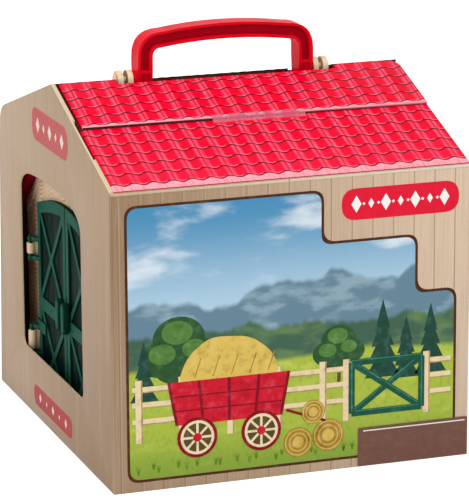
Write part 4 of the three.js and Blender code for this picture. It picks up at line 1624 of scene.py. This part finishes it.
@dataclass
class FrontPrint:
    """The front's print: a framed country picture, a plain red label and a brown bar."""

    front: float
    left: float = -125.0
    right: float = 125.0
    low: float = 7.0
    high: float = 208.0
    step_x: float = 22.8
    step_high: float = 170.0
    ledge_x: float = 94.6
    ledge_high: float = 128.0
    corner: float = 9.0
    frame_width: float = 2.0
    ground: float = 34.0
    fence_foot: float = 6.0
    fence_top: float = 44.0
    grass_left: float = 8.0
    grass_low: float = 5.5
    firs: tuple[Fir, ...] = (Fir(68, 66, 58), Fir(86, 64, 46), Fir(105, 66, 52), Fir(-112, 66, 44))
    trees: tuple[BroadTree, ...] = (BroadTree(-86, 58, 25), BroadTree(34, 62, 17))
    bales: tuple[Bale, ...] = (Bale((26.0, 27.0), 12.0), Bale((3.0, 24.0), 11.0), Bale((14.5, 45.4), 9.0))
    label: Plaque = Plaque("front_label", (36.0, 184.0), (126.0, 207.0), 11.4, Tint.LABEL, Tint.WHITE,
                           marks=7, tall=6.2, short=3.6, slim=0.62, dot=1.0, corner_steps=10, layer=3)
    bar_low: Point = (49.0, 0.6)
    bar_high: Point = (134.4, 29.5)
    bar_layer: int = 21
    rule_drop: float = 2.6
    rule_ends: Point = (4.0, 2.0)
    rule_width: float = 0.8

    def outline(self, inset: float) -> list[Point]:
        """The picture's stepped outline.

        Args:
            inset: how far inside its outer edge.

        Returns:
            The outline.
        """
        left, low = self.left + inset, self.low + inset
        right, high, step_x, step_high, ledge_x, ledge_high = (
            edge - inset
            for edge in (self.right, self.high, self.step_x, self.step_high, self.ledge_x, self.ledge_high)
        )
        corners = [(left, low), (right, low), (right, ledge_high), (ledge_x, ledge_high),
                   (ledge_x, step_high), (step_x, step_high), (step_x, high), (left, high)]
        return rounded(corners, self.corner - inset / 2)

    def build(self) -> None:
        """Makes the front's print."""
        facing = Facing(Vector((0, self.front * MM, 0)), Vector((1, 0, 0)), Vector((0, 0, 1)),
                        Vector((0, -1, 0)))
        landscape = Landscape("country_picture", self.low, self.high).build()
        panel = PrintedPiece("picture_panel", facing)
        panel.add(self.outline(0), Tint.FRAME.ink(), 0)
        panel.add(self.outline(self.frame_width), landscape, 1)
        panel.place()
        fence = Fence(self.left, self.right, self.ground + self.fence_foot, self.ground + self.fence_top)
        tufts = Tufts(self.left + self.grass_left, self.low + self.grass_low)
        for name, items in (
            ("picture_trees", (*self.firs, *self.trees)),
            ("picture_fence", (fence,)),
            ("picture_wagon", (Wagon(self.ground),)),
            ("picture_bales", (*self.bales, tufts)),
        ):
            piece = PrintedPiece(name, facing)
            for item in items:
                item.draw(piece)
            piece.place()
        self.label.place(facing)
        self.foot_bar(facing)

    def foot_bar(self, facing: Facing) -> None:
        """Prints the bare brown bar at the foot, with one thin white rule.

        Args:
            facing: the front wall's face.
        """
        piece = PrintedPiece("foot_bar", facing)
        piece.add(box_outline(self.bar_low, self.bar_high), Tint.BAR.ink(), self.bar_layer)
        level = self.bar_high[1] - self.rule_drop
        start, end = self.bar_low[0] + self.rule_ends[0], self.bar_high[0] - self.rule_ends[1]
        rule = bar((start, level), (end, level), self.rule_width)
        piece.add(rule, Tint.RULE.ink(), self.bar_layer + 1)
        piece.place()


@dataclass
class GablePrint:
    """The door end's print: two plain red plaques, placed in millimetres to the front and up."""

    face: float
    upper: Plaque = Plaque("upper_plaque", (-45.0, 218.0), (50.0, 243.0), 12.0, Tint.UPPER_PLAQUE,
                           Tint.PLAQUE_MARK, marks=5, tall=6.0, short=3.5, slim=0.8)
    lower: Plaque = Plaque("lower_plaque", (-55.0, 9.0), (48.0, 25.0), 7.68, Tint.LOWER_PLAQUE,
                           Tint.PLAQUE_MARK, marks=5, tall=3.84, short=2.24, slim=0.8)

    def build(self) -> None:
        """Makes the plaques."""
        facing = Facing(Vector((self.face * MM, 0, 0)), Vector((0, -1, 0)), Vector((0, 0, 1)),
                        Vector((-1, 0, 0)))
        for plaque in (self.upper, self.lower):
            plaque.place(facing)


@dataclass
class Stable:
    """The stable's two halves, as far as the carton shows them and when it is lifted off."""

    halves: dict[str, int] = field(default_factory=lambda: {"front": -1, "rear": 1})
    leaf_face: float = -122.4
    frame_face: float = -124.0
    ear_middle: float = -1.0
    ear_groove: float = 76.2
    ear_groove_half: float = 1.6
    beam_top: float = 254.0
    strap_low: Point = (55.4, 60.6)
    strap_high: Point = (79.4, 69.4)
    strap_corner: float = 1.6
    strap_proud: float = 1.2
    strap_edge: float = 0.4
    strap_inset: float = 0.5

    def build(self) -> None:
        """Dresses both halves and the hinge pin."""
        wood = GrainedMoulding("grained_cream").build()
        # Painted light: the door end's grain colours are paler than the side walls', for light through the
        # carton's window
        lit_door_end_wood = GrainedMoulding("grained_gable_lit", (234, 198, 162), (248, 220, 186), (136, 90, 56),
                                pitch=3.6, drift=46.0, level=True).build()
        cream = Moulding("plain_cream", (240, 218, 172), (222, 192, 142), 0.42).build()
        ears = EarMoulding("ear_cream", self.ear_middle, self.ear_groove, self.ear_groove_half,
                           self.beam_top).build()
        green = DoorMoulding("door_green", self.leaf_face).build()
        # The stable roof's red is darker than the toy's crimson: in part painted shade for the shadowed
        # carton interior
        red = Moulding("roof_red", (150, 8, 28), (104, 4, 18), 0.55, 0.05, 0.08).build()
        straw = Moulding("floor_straw", (216, 188, 100), (188, 154, 70), 0.6, 0.3).build()
        finishes = {
            "side_wall": (wood, 0.3), "door_end": (lit_door_end_wood, 0.3), "window_end": (wood, 0.3),
            "ridge_beam": (ears, 0.6, 3), "floor": (straw, 0.4), "roof": (red, 0.4),
            "skylight": (red, 0.4), "door_leaf": (green, 0.35), "door_pull": (green, 0.35),
        }
        for half, side in self.halves.items():
            for part, finish in finishes.items():
                dress(f"{half}_{part}", *finish)
            self.strap(half, side, green)
        dress("hinge_pin", cream, 0.3)

    def strap(self, half: str, side: int, green: bpy.types.Material) -> None:
        """Lays the broad strap of the lower hinge on one leaf.

        Args:
            half: the stable's half.
            side: the sign of its Y.
            green: the door's finish.
        """
        plan = rounded(box_outline(self.strap_low, self.strap_high), self.strap_corner, 3)
        middle = (Vector(self.strap_low) + Vector(self.strap_high)) / 2
        top = self.frame_face - self.strap_proud
        rings = []
        for x, inset in ((self.leaf_face, 0.0), (top + self.strap_edge, 0.0), (top, self.strap_inset)):
            moved = [Vector(place) + (middle - Vector(place)).normalized() * inset for place in plan]
            rings.append([Vector((x, side * place.x, place.y)) * MM for place in moved])
        seat(mesh_object(f"{half}_hinge_strap", *loft(rings), [green]), f"{half}_door")


@dataclass
class Handle:
    """The carrying handle, of I section with a bossed foot on each leg, and its two pins."""

    middle: float = 0.0
    half: float = 68.4
    top: float = 305.0
    pivot: float = 266.0
    bow: float = 3.6
    depth: float = 17.0
    leg: float = 11.4
    grip: float = 11.8
    outer_round: float = 20.0
    inner_round: float = 7.0
    foot_round: float = 7.8
    shoulder: float = 9.0
    rim: float = 2.0
    recess: float = 5.0
    web_foot: float = 6.6
    panel_foot: float = -4.0
    panel_head: float = 4.4
    panel_recess: float = 2.0
    panel_corner: float = 1.2
    boss: float = 6.4
    boss_ends: Point = (-70.9, 68.9)
    pin: float = 2.7
    pin_reach: float = 8.4
    over: float = 1.0
    softness: float = 0.7
    bow_steps: int = 20
    outer_steps: int = 8
    inner_steps: int = 6
    sole_steps: int = 12
    boss_steps: int = 32

    def outline(self, inset: float, foot: float) -> list[Point]:
        """The bowed bar and its legs from the front.

        Args:
            inset: how far inside the outer edge.
            foot: where the legs end.

        Returns:
            The outline.
        """
        half = self.half - inset
        inner = self.half - self.leg + inset
        high = self.top - self.bow - inset
        low = self.top - self.bow - self.grip + inset
        wide, tight, swell = self.outer_round - inset, self.inner_round + inset, 2 * self.bow
        turns = (
            ((-half, high - wide), (-half, high), (-half + wide, high), self.outer_steps),
            ((-half + wide, high), (0, high + swell), (half - wide, high), self.bow_steps),
            ((half - wide, high), (half, high), (half, high - wide), self.outer_steps),
            ((half, foot), (half, foot), (inner, foot), 1),
            ((inner, low - tight), (inner, low), (inner - tight, low), self.inner_steps),
            ((inner - tight, low), (0, low + swell), (tight - inner, low), self.bow_steps),
            ((tight - inner, low), (-inner, low), (-inner, low - tight), self.inner_steps),
            ((-inner, foot), (-inner, foot), (-half, foot), 1),
        )
        points: list[Point] = []
        for turn in turns:
            for place in curve(*turn):
                if not points or math.dist(points[-1], place) > SAME_PLACE:
                    points.append(place)
        return [(x + self.middle, z) for x, z in points]

    def side(self) -> list[Point]:
        """The handle from the side: full depth at the grip, round at the feet.

        Returns:
            The outline, as Y and Z.
        """
        half, high, shoulder = self.depth / 2, self.top + self.rim, self.pivot + self.shoulder
        turns = [math.pi + math.pi * step / self.sole_steps for step in range(self.sole_steps + 1)]
        sole = [(self.foot_round * math.cos(t), self.pivot + self.foot_round * math.sin(t)) for t in turns]
        return [(half, high), (-half, high), (-half, shoulder), *sole, (half, shoulder)]

    def prism(self, outline: list[Point], ends: Point, axis: str = "y") -> bpy.types.Object:
        """Draws an outline out into a solid.

        Args:
            outline: its corners.
            ends: where it starts and ends along the axis, in either order.
            axis: the axis it is drawn along.

        Returns:
            The solid.
        """
        rings = []
        for level in sorted(ends):
            places = [(across, level, up) if axis == "y" else (level, across, up) for across, up in outline]
            rings.append([Vector(place) * MM for place in places])
        made = mesh_object("handle_form", *loft(rings), [])
        shape = bmesh.new()
        shape.from_mesh(made.data)
        bmesh.ops.recalc_face_normals(shape, faces=shape.faces)
        shape.to_mesh(made.data)
        shape.free()
        return made

    def cuts(self) -> list[tuple[str, bpy.types.Object]]:
        """The webs and the foot panels, cut into both faces.

        Returns:
            Each cut's Boolean operation and its solid.
        """
        half = self.depth / 2
        web = self.outline(self.rim, self.pivot + self.web_foot)
        wide = self.leg / 2 - self.rim
        forms = []
        for way in (-1, 1):
            outside = way * (half + self.over)
            forms.append(("DIFFERENCE", self.prism(web, (way * (half - self.recess), outside))))
            for end in (-1, 1):
                centre = self.middle + end * (self.half - self.leg / 2)
                panel = box_outline((centre - wide, self.pivot + self.panel_foot),
                                    (centre + wide, self.pivot + self.panel_head))
                floor = way * (self.foot_round - self.panel_recess)
                solid = self.prism(rounded(panel, self.panel_corner, 3), (floor, outside))
                forms.append(("DIFFERENCE", solid))
        return forms

    def bosses(self) -> list[tuple[str, bpy.types.Object]]:
        """The round bosses on the outer sides of the feet, and the bores for the pins.

        Returns:
            Each form's Boolean operation and its solid.
        """
        boss = disc((0, self.pivot), self.boss, self.boss_steps)
        bore = disc((0, self.pivot), self.pin)
        forms = []
        for end, face in zip((-1, 1), self.boss_ends):
            root = self.middle + end * (self.half - self.over)
            inner = self.middle + end * (self.half - self.pin_reach)
            forms.append(("UNION", self.prism(boss, (root, face), "x")))
            forms.append(("DIFFERENCE", self.prism(bore, (inner, face + end * self.over), "x")))
        return forms

    def shape(self) -> bpy.types.Object:
        """Cuts the bar from its front and side outlines, with its webs, panels, bosses and bores.

        Returns:
            The handle without its finish.
        """
        half = self.depth / 2
        reach = self.half + self.over
        blank = self.prism(self.outline(0, self.pivot - self.depth), (-half, half))
        profile = self.prism(self.side(), (self.middle - reach, self.middle + reach), "x")
        forms = [("INTERSECT", profile), *self.cuts(), *self.bosses()]
        for operation, form in forms:
            step = blank.modifiers.new("form", "BOOLEAN")
            step.operation = operation
            step.solver = "EXACT"
            step.object = form
        graph = bpy.context.evaluated_depsgraph_get()
        mesh = bpy.data.meshes.new_from_object(blank.evaluated_get(graph))
        for form in (blank, *(form for _, form in forms)):
            bpy.data.objects.remove(form)
        mesh.name = "handle_bar"
        made = bpy.data.objects.new("handle_bar", mesh)
        bpy.context.scene.collection.objects.link(made)
        return made

    def build(self) -> None:
        """Makes the handle and dresses its pins."""
        made = self.shape()
        gloss = GripMoulding("handle_red", self.depth / 2 - self.recess, self.depth / 2).build()
        made.data.materials.clear()
        made.data.materials.append(gloss)
        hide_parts("carry_handle")
        seat(made, "handle")
        round_edges(made, self.softness, 3, 40)
        cream = Moulding("pin_cream", (246, 226, 184), (232, 204, 156), 0.4).build()
        for side in ("left", "right"):
            dress(f"handle_pin_{side}", cream, 0.25)


@dataclass(frozen=True)
class Lamp:
    """A soft square lamp, in metres and watts, aimed at the middle of the object."""

    name: str
    place: Triple
    size: float
    power: float
    aim: Triple = (0.0, 0.0, 0.15)

    def build(self) -> None:
        """Hangs the lamp."""
        light = bpy.data.lights.new(self.name, "AREA")
        light.size = self.size
        light.energy = self.power
        lamp = bpy.data.objects.new(self.name, light)
        lamp.location = self.place
        beam = Vector(self.aim) - Vector(self.place)
        lamp.rotation_euler = beam.to_track_quat("-Z", "Y").to_euler()
        bpy.context.scene.collection.objects.link(lamp)


@dataclass
class Studio:
    """The white floor, the lamps and the camera at the photograph's view, in metres and degrees."""

    eye: Triple = (-0.7456, -2.1721, 0.7134)
    yaw: float = 19.142
    pitch: float = 14.252
    roll: float = -0.333
    focal: float = 226.8
    sensor: float = 36.0
    clip: float = 40.0
    floor_half: float = 6.0
    backdrop_glow: float = 0.62
    world_level: float = 0.45
    lamps: tuple[Lamp, ...] = (
        Lamp("key", (0.7, -2.4, 1.6), 1.6, 24),
        Lamp("fill", (-2.2, -0.9, 1.1), 1.6, 18),
        Lamp("top", (-0.2, -0.3, 2.4), 1.8, 13),
    )

    def build(self) -> None:
        """Makes the studio."""
        self.floor()
        for lamp in self.lamps:
            lamp.build()
        self.world()
        self.camera()
        LOG.info("studio with %d lamps", len(self.lamps))

    def floor(self) -> None:
        """Makes the pale floor, which keeps the object's shadow."""
        paint = Paint("floor_white")
        mottle = paint.noise(400, 2)
        colour = paint.mix((244, 244, 244), (240, 240, 241), mottle)
        seen = paint.node("ShaderNodeLightPath")
        shown = Signal(paint, seen.outputs["Is Camera Ray"])
        for ray in ("Is Glossy Ray", "Is Transmission Ray"):
            shown = shown.most(Signal(paint, seen.outputs[ray]))
        paint.feed(paint.shader.inputs["Emission Color"], (255, 255, 255))
        paint.feed(paint.shader.inputs["Emission Strength"], shown * self.backdrop_glow)
        half = self.floor_half
        corners = [Vector((x, y, 0)) for x, y in box_outline((-half, -half), (half, half))]
        mesh_object("studio_floor", corners, [(0, 1, 2, 3)], [paint.finish(colour, 0.9)])

    def world(self) -> None:
        """Lights the scene evenly from all round, white where a camera, mirror or glass ray sees it."""
        world = bpy.data.worlds.new("studio")
        world.use_nodes = True
        tree = world.node_tree
        background = tree.nodes["Background"]
        background.inputs["Color"].default_value = (1, 1, 1, 1)
        path = tree.nodes.new("ShaderNodeLightPath")
        seen = path.outputs["Is Camera Ray"]
        for ray in ("Is Transmission Ray", "Is Glossy Ray"):
            either = tree.nodes.new("ShaderNodeMath")
            either.operation = "MAXIMUM"
            tree.links.new(seen, either.inputs[0])
            tree.links.new(path.outputs[ray], either.inputs[1])
            seen = either.outputs[0]
        strength = tree.nodes.new("ShaderNodeMapRange")
        tree.links.new(seen, strength.inputs["Value"])
        strength.inputs["To Min"].default_value = self.world_level
        strength.inputs["To Max"].default_value = 1.0
        tree.links.new(strength.outputs["Result"], background.inputs["Strength"])
        bpy.context.scene.world = world

    def camera(self) -> None:
        """Sets the camera where the photograph was taken."""
        yaw, pitch, roll = (math.radians(angle) for angle in (self.yaw, self.pitch, self.roll))
        ahead = Vector((math.sin(yaw) * math.cos(pitch), math.cos(yaw) * math.cos(pitch), -math.sin(pitch)))
        right = Vector((math.cos(yaw), -math.sin(yaw), 0))
        up = right.cross(ahead)
        turned_right = right * math.cos(roll) + up * math.sin(roll)
        turned_up = up * math.cos(roll) - right * math.sin(roll)
        lens = bpy.data.cameras.new("photo_camera")
        lens.lens = self.focal
        lens.sensor_width = self.sensor
        lens.clip_end = self.clip
        camera = bpy.data.objects.new("photo_camera", lens)
        matrix = Matrix((turned_right, turned_up, -ahead)).transposed().to_4x4()
        matrix.translation = self.eye
        camera.matrix_world = matrix
        bpy.context.scene.collection.objects.link(camera)
        bpy.context.scene.camera = camera
        bpy.context.scene.view_settings.view_transform = "Standard"


def main() -> None:
    """Builds every sub-assembly in order."""
    logging.basicConfig(level=logging.INFO, format="%(message)s")
    Studio().build()
    carton = Carton()
    carton.build()
    FrontPrint(carton.front).build()
    GablePrint(carton.left).build()
    Stable().build()
    Handle().build()


if __name__ == "__main__":
    main()
